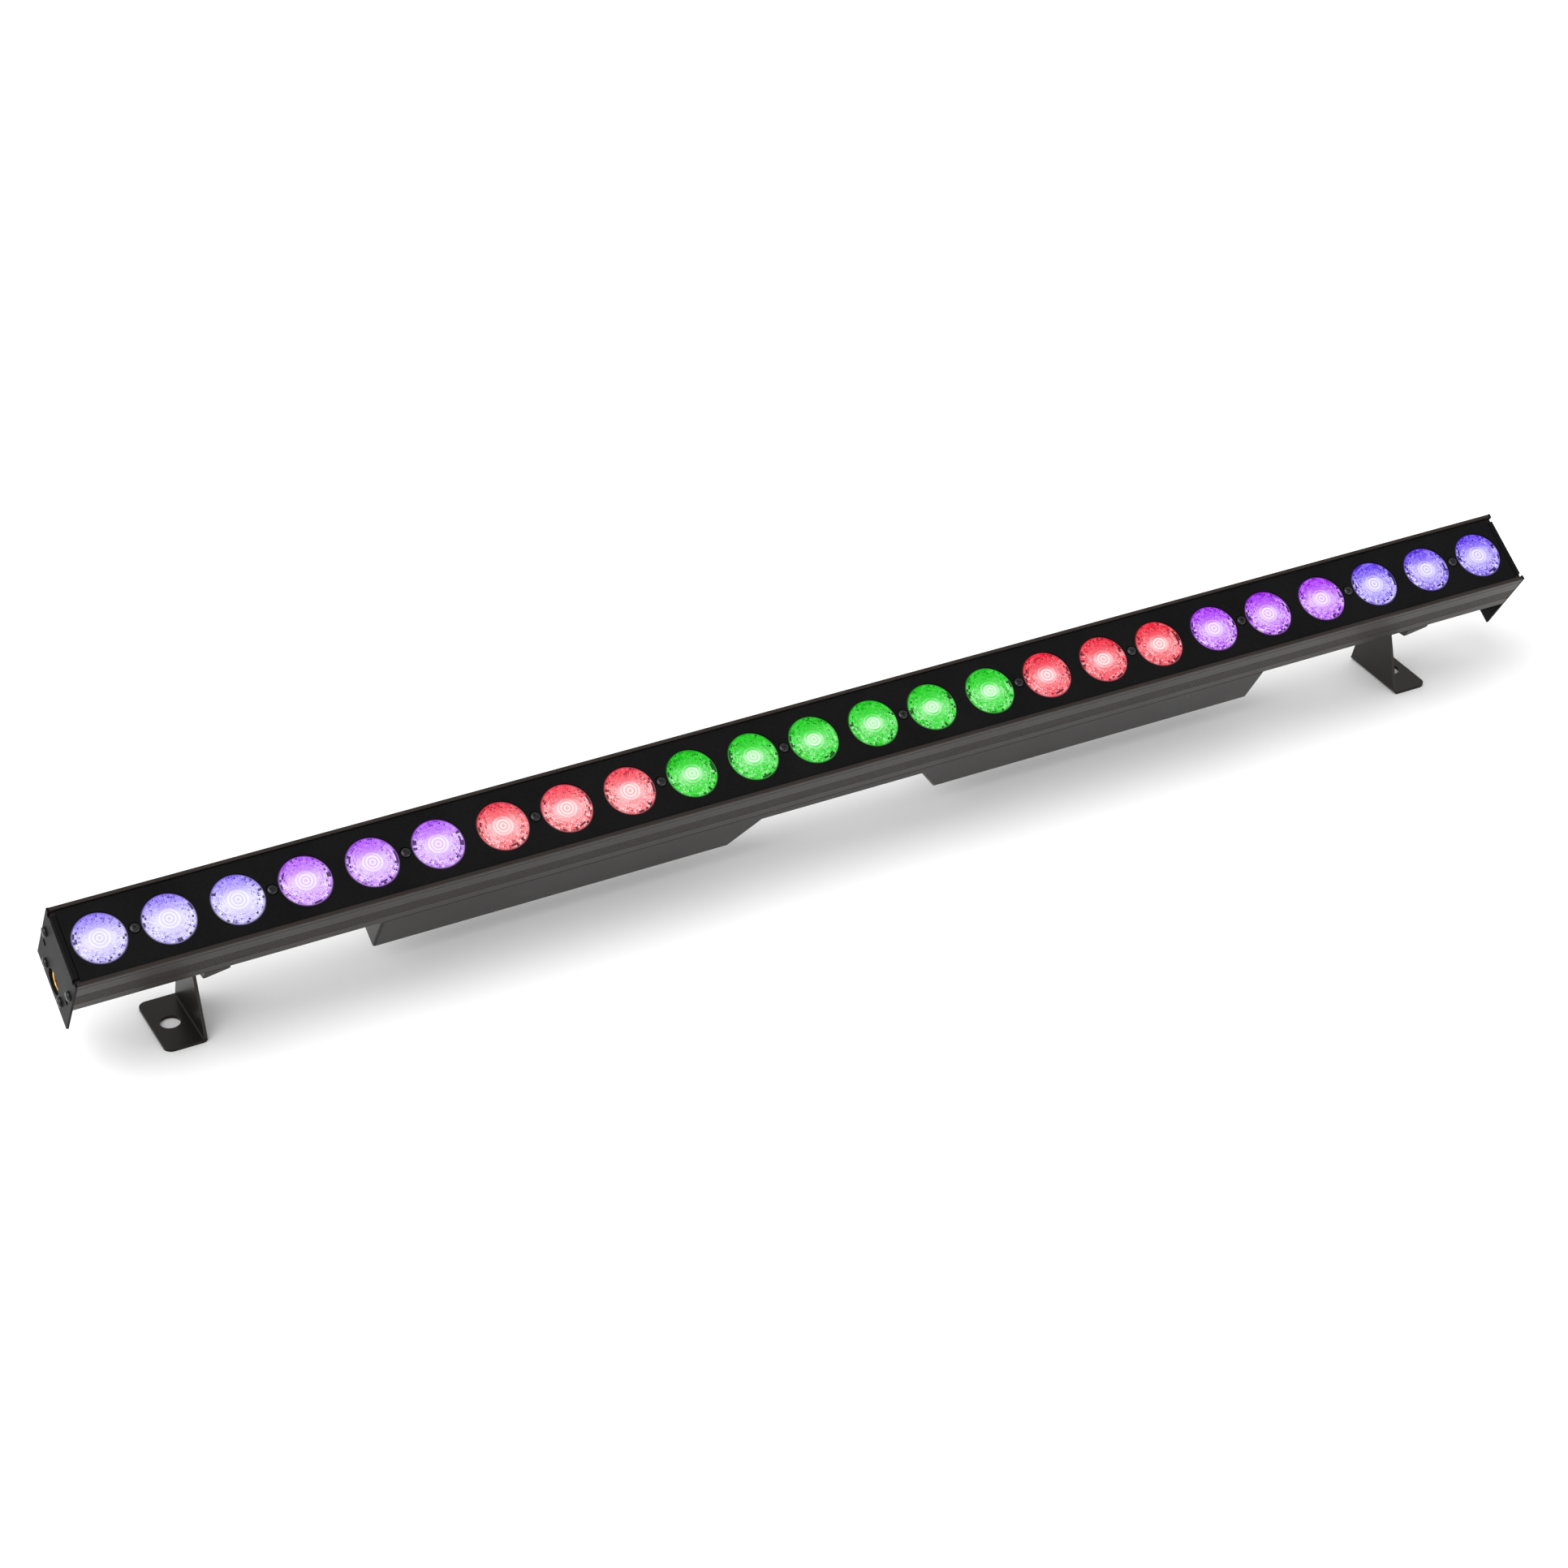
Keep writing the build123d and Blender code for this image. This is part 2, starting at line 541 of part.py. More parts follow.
write(socket(-1, -SOCKET_Y, "power_in"), "power_inlet")
write(socket(1, -SOCKET_Y, "power_out"), "power_outlet")
write(socket(-1, SOCKET_Y, "data_in"), "data_inlet")
write(socket(1, SOCKET_Y, "data_out"), "data_outlet")

with BuildPart() as data_latch:
    with BuildSketch(bay_wall(1, SOCKET_Y).offset(LATCH_PROUD)):
        with Locations((0, LATCH_OFFSET)):
            RectangleRounded(LATCH_W, LATCH_H, LATCH_H / 4)
    extrude(amount=-(LATCH_PROUD + CONTACT_DEPTH - LATCH_FIT))
write(data_latch.part, "data_latch")

# ---- menu: window, control board with its switches, and four buttons ----
with BuildPart() as display_window:
    with BuildSketch(Plane.XY.offset(-bay_roof - WINDOW_PROUD)):
        with Locations((WINDOW_X, 0)):
            RectangleRounded(WINDOW_W, WINDOW_H, 1.0)
    extrude(amount=WINDOW_PROUD + COVER_T)
    with BuildSketch(Plane.XY.offset(roof_inside)):
        with Locations((WINDOW_X, 0)):
            Rectangle(WINDOW_W + 3, WINDOW_H + 3)
    extrude(amount=WINDOW_BODY)
write(display_window.part, "display_window")

with BuildPart() as control_board:
    with BuildSketch(Plane.XY.offset(board_z)):
        Rectangle(CONTROL_W, CONTROL_H)
    extrude(amount=BOARD_T)
    with BuildSketch(Plane.XY.offset(roof_inside)):
        with GridLocations(CONTROL_W - 8, CONTROL_H - 8, 2, 2):
            Circle(STAND_R)
    extrude(amount=CONTROL_GAP)
    switch_low = roof_inside + BUTTON_FLANGE_T + SWITCH_GAP
    with BuildSketch(Plane.XY.offset(switch_low)):
        with Locations([(x, 0) for x in button_x]):
            Rectangle(6, 6)
    extrude(amount=board_z - switch_low)
write(control_board.part, "control_board")

for number, x in enumerate(button_x, start=1):
    with BuildPart() as button:
        with BuildSketch(Plane.XY.offset(-bay_roof - BUTTON_PROUD)):
            with Locations((x, 0)):
                Circle(BUTTON_R)
        extrude(amount=BUTTON_PROUD + COVER_T)
        with BuildSketch(Plane.XY.offset(roof_inside)):
            with Locations((x, 0)):
                Circle(BUTTON_FLANGE_R)
        extrude(amount=BUTTON_FLANGE_T)
        chamfer(button.edges().filter_by(GeomType.CIRCLE).sort_by(Axis.Z)[0], 0.4)
    write(button.part, f"button_{number}")


# ---- boards in the two boxes ----
def box_board(x, blocks, cans):
    """Circuit board on four stands, with blocks (x, y, w, d, h) and cans (x, y, r, h) on it."""
    top = -cover_drop + COVER_T + BOX_STAND + BOARD_T
    with BuildPart() as made:
        with BuildSketch(Plane.XY.offset(top - BOARD_T)):
            with Locations((x, 0)):
                Rectangle(BOX_BOARD_L, BOX_BOARD_W)
        extrude(amount=BOARD_T)
        with BuildSketch(Plane.XY.offset(-cover_drop + COVER_T)):
            with Locations((x, 0)):
                with GridLocations(BOX_BOARD_L - 30, BOX_BOARD_W - 8, 2, 2):
                    Circle(STAND_R)
        extrude(amount=BOX_STAND)
        for bx, by, wide, deep, high in blocks:
            with BuildSketch(Plane.XY.offset(top)):
                with Locations((x + bx, by)):
                    Rectangle(wide, deep)
            extrude(amount=high)
        for cx, cy, radius, high in cans:
            with BuildSketch(Plane.XY.offset(top)):
                with Locations((x + cx, cy)):
                    Circle(radius)
            extrude(amount=high)
    return made.part


psu_blocks = [(-20, 0, 34, 30, 22), (34, -12, 40, 3, 20), (-70, 8, 22, 14, 16)]
psu_cans = [(20, 10, 8, 24), (44, 10, 8, 24), (64, 10, 5, 14), (-48, -12, 6, 16)]
write(box_board(-BOX_BOARD_X, psu_blocks, psu_cans), "psu_board")
driver_blocks = [(-60, 0, 14, 12, 8), (-36, 0, 14, 12, 8), (-12, 0, 14, 12, 8), (12, 0, 14, 12, 8),
                 (48, -14, 50, 3, 18)]
driver_cans = [(44, 8, 6, 14), (62, 8, 6, 14)]
write(box_board(BOX_BOARD_X, driver_blocks, driver_cans), "driver_board")

# ---- hangers: one tab each, under the body, beside the leg ----
leg_faces = {"left": -BRACKET_X - BRACKET_T, "right": BRACKET_X}
tab_x = {half: x + BRACKET_T + SIDE_GAP for half, x in leg_faces.items()}
for half, x in tab_x.items():
    with BuildPart() as hanger:
        with BuildSketch(Plane.YZ.offset(x)):
            with BuildSketch(mode=Mode.PRIVATE) as taper:
                with Locations((0, -BODY_DEPTH - HANGER_SHOULDER)):
                    Rectangle(BAR_WIDTH, 0.2)
                with Locations((0, -pivot_drop)):
                    Circle(HANGER_HEAD_R)
            make_hull(taper.edges())
            with Locations((0, -BODY_DEPTH - HANGER_SHOULDER / 2)):
                Rectangle(BAR_WIDTH, HANGER_SHOULDER)
            with Locations((0, -pivot_drop)):
                Circle(BOLT_R + THREAD_GAP, mode=Mode.SUBTRACT)
        extrude(amount=HANGER_T)
        with BuildSketch(Plane.XY.offset(-BODY_DEPTH)):
            with Locations((x + HANGER_LENGTH / 2, 0)):
                Rectangle(HANGER_LENGTH, BAR_WIDTH)
            with Locations([(x + HANGER_SCREW_X, s * HANGER_SCREW_Y) for s in (-1, 1)]):
                Circle(M4_R + 0.3, mode=Mode.SUBTRACT)
        extrude(amount=-HANGER_T)
        # side lips taper from the tab to the end of the flange
        with BuildSketch(Plane.XZ.offset(-half_width), Plane.XZ.offset(half_width - HANGER_T)):
            with BuildLine():
                Polyline((x, -BODY_DEPTH), (x + HANGER_LENGTH, -BODY_DEPTH),
                         (x + HANGER_LENGTH, -BODY_DEPTH - HANGER_T),
                         (x + HANGER_T, -BODY_DEPTH - HANGER_SHOULDER),
                         (x, -BODY_DEPTH - HANGER_SHOULDER), (x, -BODY_DEPTH))
            make_face()
        extrude(amount=HANGER_T)
    write(hanger.part, f"hanger_{half}")

hanger_screw = screw(M4_HEAD_R, M4_HEAD_H, M4_R, HANGER_T + FLOOR_WALL)
hanger_planes = [Plane(origin=(x + HANGER_SCREW_X, s * HANGER_SCREW_Y, -BODY_DEPTH - HANGER_T),
                       z_dir=(0, 0, -1)) for x in tab_x.values() for s in (-1, 1)]
write(fastened(hanger_screw, hanger_planes), "hanger_screws")

# ---- pivot bolts: flanged head beside the leg, shank through leg and tab into the knob ----
with BuildPart() as pivot_bolts:
    for half, x in leg_faces.items():
        under_head = x - SIDE_GAP
        with BuildSketch(Plane.YZ.offset(under_head)):
            with Locations((0, -pivot_drop)):
                Circle(BOLT_R)
        extrude(amount=BRACKET_T + 2 * SIDE_GAP + HANGER_T + BOLT_STICK)
        with BuildSketch(Plane.YZ.offset(under_head)):
            with Locations((0, -pivot_drop)):
                Circle(BOLT_FLANGE_R)
        extrude(amount=-BOLT_FLANGE_T)
        with BuildSketch(Plane.YZ.offset(under_head - BOLT_FLANGE_T)):
            with Locations((0, -pivot_drop)):
                RegularPolygon(BOLT_HEAD_R, 6)
        extrude(amount=-BOLT_HEAD_H)
write(pivot_bolts.part, "pivot_bolts")

# ---- clamp knobs: fluted hand knobs on the bolts ----
for half, x in tab_x.items():
    knob_x = x + HANGER_T + SIDE_GAP
    with BuildPart() as clamp_knob:
        with BuildSketch(Plane.YZ.offset(knob_x)):
            with Locations((0, -pivot_drop)):
                Circle(KNOB_R)
                with PolarLocations(KNOB_R + KNOB_FLUTE_R / 2, KNOB_LOBES):
                    Circle(KNOB_FLUTE_R, mode=Mode.SUBTRACT)
        extrude(amount=KNOB_LENGTH)
        fillet(clamp_knob.faces().sort_by(Axis.X)[-1].edges(), 1.2)
        with BuildSketch(Plane.YZ.offset(knob_x)):
            with Locations((0, -pivot_drop)):
                Circle(BOLT_R + BOLT_RUN)
        extrude(amount=BOLT_STICK + SIDE_GAP, mode=Mode.SUBTRACT)
    write(clamp_knob.part, f"clamp_knob_{half}")

# ---- floor brackets: drawn upright round the pivot, leg down and foot outward ----
for side, half in ((-1, "left"), (1, "right")):
    with BuildPart() as bracket:
        with BuildSketch(Plane.YZ) as leg_outline:
            with BuildSketch(mode=Mode.PRIVATE) as leg_shape:
                with Locations((0, -PIVOT_HEIGHT + 0.1)):
                    Rectangle(FOOT_WIDTH, 0.2)
                Circle(LEG_HEAD_R)
            make_hull(leg_shape.edges())
            Circle(BOLT_R + BOLT_RUN, mode=Mode.SUBTRACT)
        extrude(amount=side * BRACKET_T)
        with BuildSketch(Plane.XY.offset(-PIVOT_HEIGHT)):
            with Locations((side * FOOT_LENGTH / 2, 0)):
                Rectangle(FOOT_LENGTH, FOOT_WIDTH)
            with Locations((side * FOOT_HOLE_X, 0)):
                Circle(FOOT_HOLE_R, mode=Mode.SUBTRACT)
        extrude(amount=BRACKET_T)
        corners = bracket.edges().filter_by(Axis.Z).filter_by(
            lambda edge: abs(edge.center().X) > FOOT_LENGTH - 0.01)
        fillet(corners, FOOT_CORNER_R)
        heel = bracket.edges().filter_by(Axis.Y).filter_by(
            lambda edge: abs(edge.center().X) < 0.01 and edge.center().Z < 0.1 - PIVOT_HEIGHT)
        fillet(heel, BEND_R)
        inner_bend = bracket.edges().filter_by(Axis.Y).filter_by(
            lambda edge: abs(abs(edge.center().X) - BRACKET_T) < 0.01
            and abs(edge.center().Z - BRACKET_T + PIVOT_HEIGHT) < 0.01)
        fillet(inner_bend, BEND_R - BRACKET_T)
    write(bracket.part, f"bracket_{half}", Location((side * BRACKET_X, pivot_y, PIVOT_HEIGHT)))

print("lens line at y", round(face_y, 3), "z", round(face_z, 3), "pivot y", round(pivot_y, 3))
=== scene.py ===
# %% [markdown]
# # A metre-long stage light bar
# The real thing is a drawn aluminium channel with a coated steel panel on top, 24 lit lenses
# under that panel, bent sheet covers and ends, and two brackets that tilt it. The CAD model
# already gives every true size and place, so it is loaded first and never moved. Blender adds
# the finish: eased edges, faceted lenses, turned screws and a coat for each surface.
import json
import math

import bpy
import numpy as np
from mathutils import Matrix, Vector


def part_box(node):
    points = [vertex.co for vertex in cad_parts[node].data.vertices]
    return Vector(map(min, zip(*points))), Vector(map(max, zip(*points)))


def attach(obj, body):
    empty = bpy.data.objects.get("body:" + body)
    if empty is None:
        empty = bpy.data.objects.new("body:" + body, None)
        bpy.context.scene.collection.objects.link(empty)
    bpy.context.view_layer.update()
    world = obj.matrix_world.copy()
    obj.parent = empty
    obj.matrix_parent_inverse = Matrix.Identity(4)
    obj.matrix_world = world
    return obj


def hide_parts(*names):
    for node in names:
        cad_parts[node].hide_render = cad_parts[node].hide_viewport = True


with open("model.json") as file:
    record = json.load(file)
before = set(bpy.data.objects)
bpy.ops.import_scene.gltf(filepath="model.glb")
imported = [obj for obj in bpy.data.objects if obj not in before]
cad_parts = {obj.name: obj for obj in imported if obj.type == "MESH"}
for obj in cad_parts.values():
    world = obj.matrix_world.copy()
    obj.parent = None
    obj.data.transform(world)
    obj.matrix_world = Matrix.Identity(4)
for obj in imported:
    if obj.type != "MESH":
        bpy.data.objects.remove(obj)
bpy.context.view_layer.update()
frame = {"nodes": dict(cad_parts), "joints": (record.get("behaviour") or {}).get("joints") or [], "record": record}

MM = 0.001

# %% [markdown]
# ## Where the bar is
# The bar leans back on its brackets, so its pieces are easiest to model lying flat, with x
# along the bar, y across it, and z out of the lens face. Everything could be turned as an
# object, but the finished pieces have to sit at the origin, so one matrix turns each mesh
# instead. The pivot of the left bracket, which the record states, gives the matrix its place.

# %% Bar matrix
LEAN = math.radians(32)
PIVOT_DROP = 48 * MM
tilt_joint = next(joint for joint in frame["joints"] if joint["name"] == "bracket_left_tilt")
pivot = Vector(tilt_joint["pos_m"])
pivot.x = 0
BAR = (Matrix.Translation(pivot) @ Matrix.Rotation(LEAN, 4, "X")
       @ Matrix.Translation((0, 0, PIVOT_DROP)))
print("middle of the lens face", [round(v, 4) for v in BAR @ Vector((0, 0, 0))])

# %% [markdown]
# ## Camera
# A camera can be aimed with a constraint, but a metre-long bar seen at a slant needs its exact
# direction. The right and up axes of the view are written out, the third is worked out from
# them, and all three go into a matrix.

# %% Camera
CAMERA_AT = Vector((-0.94024, -1.73154, 1.34195))
VIEW_RIGHT = Vector((0.8871, -0.4615, 0.0051))
VIEW_UP = Vector((0.2502, 0.4901, 0.8350))
FOCAL_LENGTH, SENSOR_WIDTH = 86.8, 36
camera_data = bpy.data.cameras.new("studio_camera")
camera_data.lens = FOCAL_LENGTH
camera_data.sensor_width = SENSOR_WIDTH
camera = bpy.data.objects.new("studio_camera", camera_data)
bpy.context.scene.collection.objects.link(camera)
view_back = VIEW_RIGHT.cross(VIEW_UP).normalized()
view_turn = Matrix((VIEW_RIGHT, view_back.cross(VIEW_RIGHT), view_back)).transposed()
camera.matrix_world = Matrix.Translation(CAMERA_AT) @ view_turn.to_4x4()
bpy.context.scene.camera = camera
print("camera looks along", [round(-v, 3) for v in view_back])

# %% [markdown]
# ## Floor and light
# The bar stands on white paper in a bright room, with one wide soft light high up on its left.
# A ring of lamps would also do, but a single very wide sun lights the whole metre evenly.
# Most of the light comes from all around, so the shadow is a soft grey that gathers where the
# boxes meet the paper. A long low strip light draws the thin bright line along the lip.

# %% Floor
FLOOR_SIZE = 12.0
PAPER_WHITE = 0.9
bpy.ops.object.select_all(action="DESELECT")
bpy.ops.mesh.primitive_plane_add(size=FLOOR_SIZE, location=(0, 0, 0))
floor = bpy.context.object
floor.name = "paper_floor"
paper = bpy.data.materials.new("white_paper")
paper.use_nodes = True
paper_shader = paper.node_tree.nodes["Principled BSDF"]
paper_shader.inputs["Base Color"].default_value = (*[PAPER_WHITE] * 3, 1)
paper_shader.inputs["Roughness"].default_value = 0.9
paper_shader.inputs["Specular IOR Level"].default_value = 0.1
floor.data.materials.append(paper)
print("floor", floor.dimensions[:2])

# %% Lights
SKY_STRENGTH = 0.72
SOFTBOX_AT, SOFTBOX_STRENGTH, SOFTBOX_SPREAD = (-1.6, -0.5, 2.2), 2.8, math.radians(60)
STRIP_AT, LIP_AT, STRIP_WATTS = (0.58, -1.36, 0.22), (0, 0, 0.09), 9.0
STRIP_LENGTH, STRIP_WIDTH = 1.9, 0.1
bpy.context.scene.view_settings.view_transform = "Standard"
sky = bpy.data.worlds.new("bright_studio")
sky.use_nodes = True
sky_shader = sky.node_tree.nodes["Background"]
sky_shader.inputs["Color"].default_value = (1.0, 1.0, 1.0, 1)
sky_shader.inputs["Strength"].default_value = SKY_STRENGTH
bpy.context.scene.world = sky


def add_light(kind, name, at, towards, energy, **settings):
    """A light of one kind at a place, aimed at a point."""
    data = bpy.data.lights.new(name, kind)
    data.energy = energy
    for key, value in settings.items():
        setattr(data, key, value)
    light = bpy.data.objects.new(name, data)
    bpy.context.scene.collection.objects.link(light)
    light.location = at
    light.rotation_mode = "QUATERNION"
    light.rotation_quaternion = (Vector(towards) - Vector(at)).to_track_quat("-Z", "Y")


add_light("SUN", "wide_softbox", SOFTBOX_AT, (0, 0, 0), SOFTBOX_STRENGTH, angle=SOFTBOX_SPREAD)
add_light("AREA", "strip_light", STRIP_AT, LIP_AT, STRIP_WATTS,
          shape="RECTANGLE", size=STRIP_LENGTH, size_y=STRIP_WIDTH)

# %% [markdown]
# ## Shared finishes
# Coats, castings and drawn metal all share two things: a fine grain that catches the light and
# a slow, cloudy change in how shiny they are. Each is a node group, built once and placed in
# every material with its own scale, so that all the finishes stay of one family. The groups put
# out plain values, and the shader stays in the material.

# %% Helpers for nodes
def new_group(name, inputs, outputs):
    """An empty shader node group with named float or vector sockets."""
    group = bpy.data.node_groups.new(name, "ShaderNodeTree")
    for label, kind in inputs:
        group.interface.new_socket(label, in_out="INPUT", socket_type=kind)
    for label in outputs:
        group.interface.new_socket(label, in_out="OUTPUT", socket_type="NodeSocketFloat")
    return group, group.nodes.new("NodeGroupInput"), group.nodes.new("NodeGroupOutput")


def math_node(tree, operation, first, second=None, third=None, clamp=False):
    """A Math node whose inputs are linked sockets or plain numbers."""
    node = tree.nodes.new("ShaderNodeMath")
    node.operation = operation
    node.use_clamp = clamp
    for socket, value in zip(node.inputs, (first, second, third)):
        if isinstance(value, bpy.types.NodeSocket):
            tree.links.new(value, socket)
        elif value is not None:
            socket.default_value = value
    return node.outputs[0]


def line(tree, value, slope, start, clamp=False):
    """A straight line through a value: slope times the value, plus start."""
    return math_node(tree, "MULTIPLY_ADD", value, slope, start, clamp)


def blended(tree, factor, first, second):
    """A mix of two colours, each a linked socket or three plain numbers."""
    mix = tree.nodes.new("ShaderNodeMix")
    mix.data_type = "RGBA"
    tree.links.new(factor, mix.inputs["Factor"])
    for label, colour in (("A", first), ("B", second)):
        if isinstance(colour, bpy.types.NodeSocket):
            tree.links.new(colour, mix.inputs[label])
        else:
            mix.inputs[label].default_value = (*colour, 1)
    return mix.outputs["Result"]


print("node helpers ready")

# %% Grain group
VECTOR, FLOAT = "NodeSocketVector", "NodeSocketFloat"
DUST_FINENESS = 1.7                     # dust is this much finer than the pebbles
SPECK_SLOPE, SPECK_START = 4.0, -1.9    # the thicker half of the dust becomes specks
grain, grain_in, grain_out = new_group(
    "grain", [("Vector", VECTOR), ("Scale", FLOAT)], ["Height", "Speck"])
pebbles = grain.nodes.new("ShaderNodeTexVoronoi")
pebbles.feature = "SMOOTH_F1"
dust = grain.nodes.new("ShaderNodeTexNoise")
dust.inputs["Detail"].default_value = 3
for texture in (pebbles, dust):
    grain.links.new(grain_in.outputs["Vector"], texture.inputs["Vector"])
grain.links.new(grain_in.outputs["Scale"], pebbles.inputs["Scale"])
dust_scale = math_node(grain, "MULTIPLY", grain_in.outputs["Scale"], DUST_FINENESS)
grain.links.new(dust_scale, dust.inputs["Scale"])
grain_height = math_node(grain, "ADD", pebbles.outputs["Distance"], dust.outputs["Fac"])
grain.links.new(grain_height, grain_out.inputs["Height"])
speck = line(grain, dust.outputs["Fac"], SPECK_SLOPE, SPECK_START, clamp=True)
grain.links.new(speck, grain_out.inputs["Speck"])
print("group", grain.name, [socket.name for socket in grain_out.inputs if socket.name])

# %% Cloud group
CLOUD_SLOPE, CLOUD_START = 1.6, -0.3    # spreads the haze over the whole of 0 to 1
cloud, cloud_in, cloud_out = new_group("cloud", [("Vector", VECTOR), ("Scale", FLOAT)], ["Mask"])
haze = cloud.nodes.new("ShaderNodeTexNoise")
haze.inputs["Detail"].default_value = 5
haze.inputs["Roughness"].default_value = 0.6
cloud.links.new(cloud_in.outputs["Vector"], haze.inputs["Vector"])
cloud.links.new(cloud_in.outputs["Scale"], haze.inputs["Scale"])
cloud_mask = line(cloud, haze.outputs["Fac"], CLOUD_SLOPE, CLOUD_START, clamp=True)
cloud.links.new(cloud_mask, cloud_out.inputs["Mask"])
print("group", cloud.name, [socket.name for socket in cloud_out.inputs if socket.name])

# %% Coat material
CLOUD_SCALE = 22                        # clouds a few centimetres wide
SPECK_SHARE, CLOUD_SHARE = 0.65, 0.35   # how much of the colour change each one makes
BUMP_STRENGTH = 0.5
finishes = {}


def place_group(tree, group, vector, scale):
    """A node group placed in a material, fed with coordinates and a scale."""
    node = tree.nodes.new("ShaderNodeGroup")
    node.node_tree = group
    tree.links.new(vector, node.inputs["Vector"])
    node.inputs["Scale"].default_value = scale
    return node


def coat(name, dark, light, roughness, grain_scale, grain_depth, stretch=(1, 1, 1),
         metallic=0.0, specular=0.5, tint=(1, 1, 1)):
    """A finish whose colour, gloss and bumps vary with a fine grain and a slow cloud.
    dark and light are the ends of its colour, and roughness holds the two ends of its gloss."""
    material = bpy.data.materials.new(name)
    material.use_nodes = True
    tree = material.node_tree
    shader = tree.nodes["Principled BSDF"]
    shader.inputs["Metallic"].default_value = metallic
    shader.inputs["Specular IOR Level"].default_value = specular
    shader.inputs["Specular Tint"].default_value = (*tint, 1)
    place = tree.nodes.new("ShaderNodeTexCoord")
    mapping = tree.nodes.new("ShaderNodeMapping")
    mapping.vector_type = "TEXTURE"
    mapping.inputs["Rotation"].default_value = (LEAN, 0, 0)
    mapping.inputs["Scale"].default_value = stretch
    tree.links.new(place.outputs["Object"], mapping.inputs["Vector"])
    fine = place_group(tree, grain, mapping.outputs["Vector"], grain_scale)
    slow = place_group(tree, cloud, place.outputs["Object"], CLOUD_SCALE)
    specks = math_node(tree, "MULTIPLY", fine.outputs["Speck"], SPECK_SHARE)
    change = line(tree, slow.outputs["Mask"], CLOUD_SHARE, specks)
    tree.links.new(blended(tree, change, dark, light), shader.inputs["Base Color"])
    glossiest, dullest = roughness
    gloss = line(tree, slow.outputs["Mask"], dullest - glossiest, glossiest)
    tree.links.new(gloss, shader.inputs["Roughness"])
    bump = tree.nodes.new("ShaderNodeBump")
    bump.inputs["Strength"].default_value = BUMP_STRENGTH
    bump.inputs["Distance"].default_value = grain_depth
    tree.links.new(fine.outputs["Height"], bump.inputs["Height"])
    tree.links.new(bump.outputs["Normal"], shader.inputs["Normal"])
    finishes[name] = material


print("coats mix", grain.name, "and", cloud.name)

# %% [markdown]
# ## The finishes
# The panel and the end plates have a fine powder coat, which looks almost flat black with tiny
# sparkles. The channel is anodised after it is drawn, so its grain runs in long streaks. The
# bent sheets have a satin paint with an orange-peel skin. Plain metals and plastics complete
# the set. One function makes them all, because they differ only in colour, gloss and grain.
# Grain scale counts the specks in a metre, and grain depth is in metres too.

# %% Materials by slot
STREAKS = (60, 1, 1)        # drawn along the bar
LATHE_MARKS = (1, 12, 12)   # turned about the length of the bar
WARM = (1.0, 0.88, 0.83)    # the faint brown in the shine of black paint
coat("black_powder", (0.0010, 0.0009, 0.0010), (0.0095, 0.0088, 0.0095), (0.42, 0.54), 1500,
     0.10 * MM, specular=0.06)
coat("black_anodised", (0.009, 0.0072, 0.0064), (0.018, 0.0145, 0.0128), (0.30, 0.42), 2400,
     0.012 * MM, stretch=STREAKS, specular=0.30, tint=WARM)
coat("black_paint", (0.005, 0.0045, 0.0043), (0.011, 0.0098, 0.0092), (0.26, 0.36), 900, 0.02 * MM,
     specular=0.22, tint=WARM)
coat("black_screw", (0.008, 0.008, 0.009), (0.05, 0.05, 0.052), (0.16, 0.28), 3000, 0.01 * MM,
     metallic=0.6)
coat("zinc_steel", (0.5, 0.5, 0.49), (0.66, 0.66, 0.65), (0.28, 0.42), 1500, 0.01 * MM,
     metallic=1.0)
coat("brass", (0.78, 0.48, 0.12), (0.95, 0.66, 0.25), (0.16, 0.3), 1400, 0.012 * MM,
     stretch=LATHE_MARKS, metallic=1.0)
coat("tray_black", (0.01, 0.01, 0.01), (0.022, 0.022, 0.022), (0.5, 0.65), 1200, 0.03 * MM)
coat("board_white", (0.72, 0.72, 0.7), (0.86, 0.86, 0.83), (0.25, 0.35), 800, 0.01 * MM)
coat("emitter", (0.8, 0.76, 0.5), (0.95, 0.92, 0.7), (0.12, 0.25), 1800, 0.01 * MM)
coat("board_green", (0.02, 0.14, 0.06), (0.04, 0.22, 0.1), (0.22, 0.4), 700, 0.02 * MM)
coat("socket_black", (0.012, 0.012, 0.013), (0.026, 0.026, 0.028), (0.4, 0.55), 1600, 0.03 * MM)
coat("socket_blue", (0.012, 0.05, 0.26), (0.03, 0.1, 0.42), (0.38, 0.5), 1600, 0.03 * MM)
coat("latch_grey", (0.2, 0.2, 0.205), (0.32, 0.32, 0.33), (0.4, 0.55), 1600, 0.03 * MM)
coat("window_smoke", (0.006, 0.003, 0.003), (0.014, 0.006, 0.006), (0.05, 0.12), 300, 0.004 * MM)
coat("button_black", (0.014, 0.014, 0.014), (0.03, 0.03, 0.03), (0.55, 0.7), 1900, 0.04 * MM)
coat("knob_black", (0.01, 0.01, 0.011), (0.024, 0.024, 0.026), (0.38, 0.52), 1300, 0.04 * MM)
print(len(finishes), "coats")

# %% [markdown]
# ## Light inside a lens
# Each lens is a clear moulded cone with a beaded face, lit from behind by one emitter. Tracing
# that light through the plastic would be slow and noisy. The face glows instead: a small UV
# map, centred on each lens, gives the distance from its middle, where it is nearly white, to
# its rim, where the colour is pure. Two soft lobes, left and right, and the near half are
# paler, as over a real cluster of chips. Each bead carries its own brightness in an attribute
# called glint.

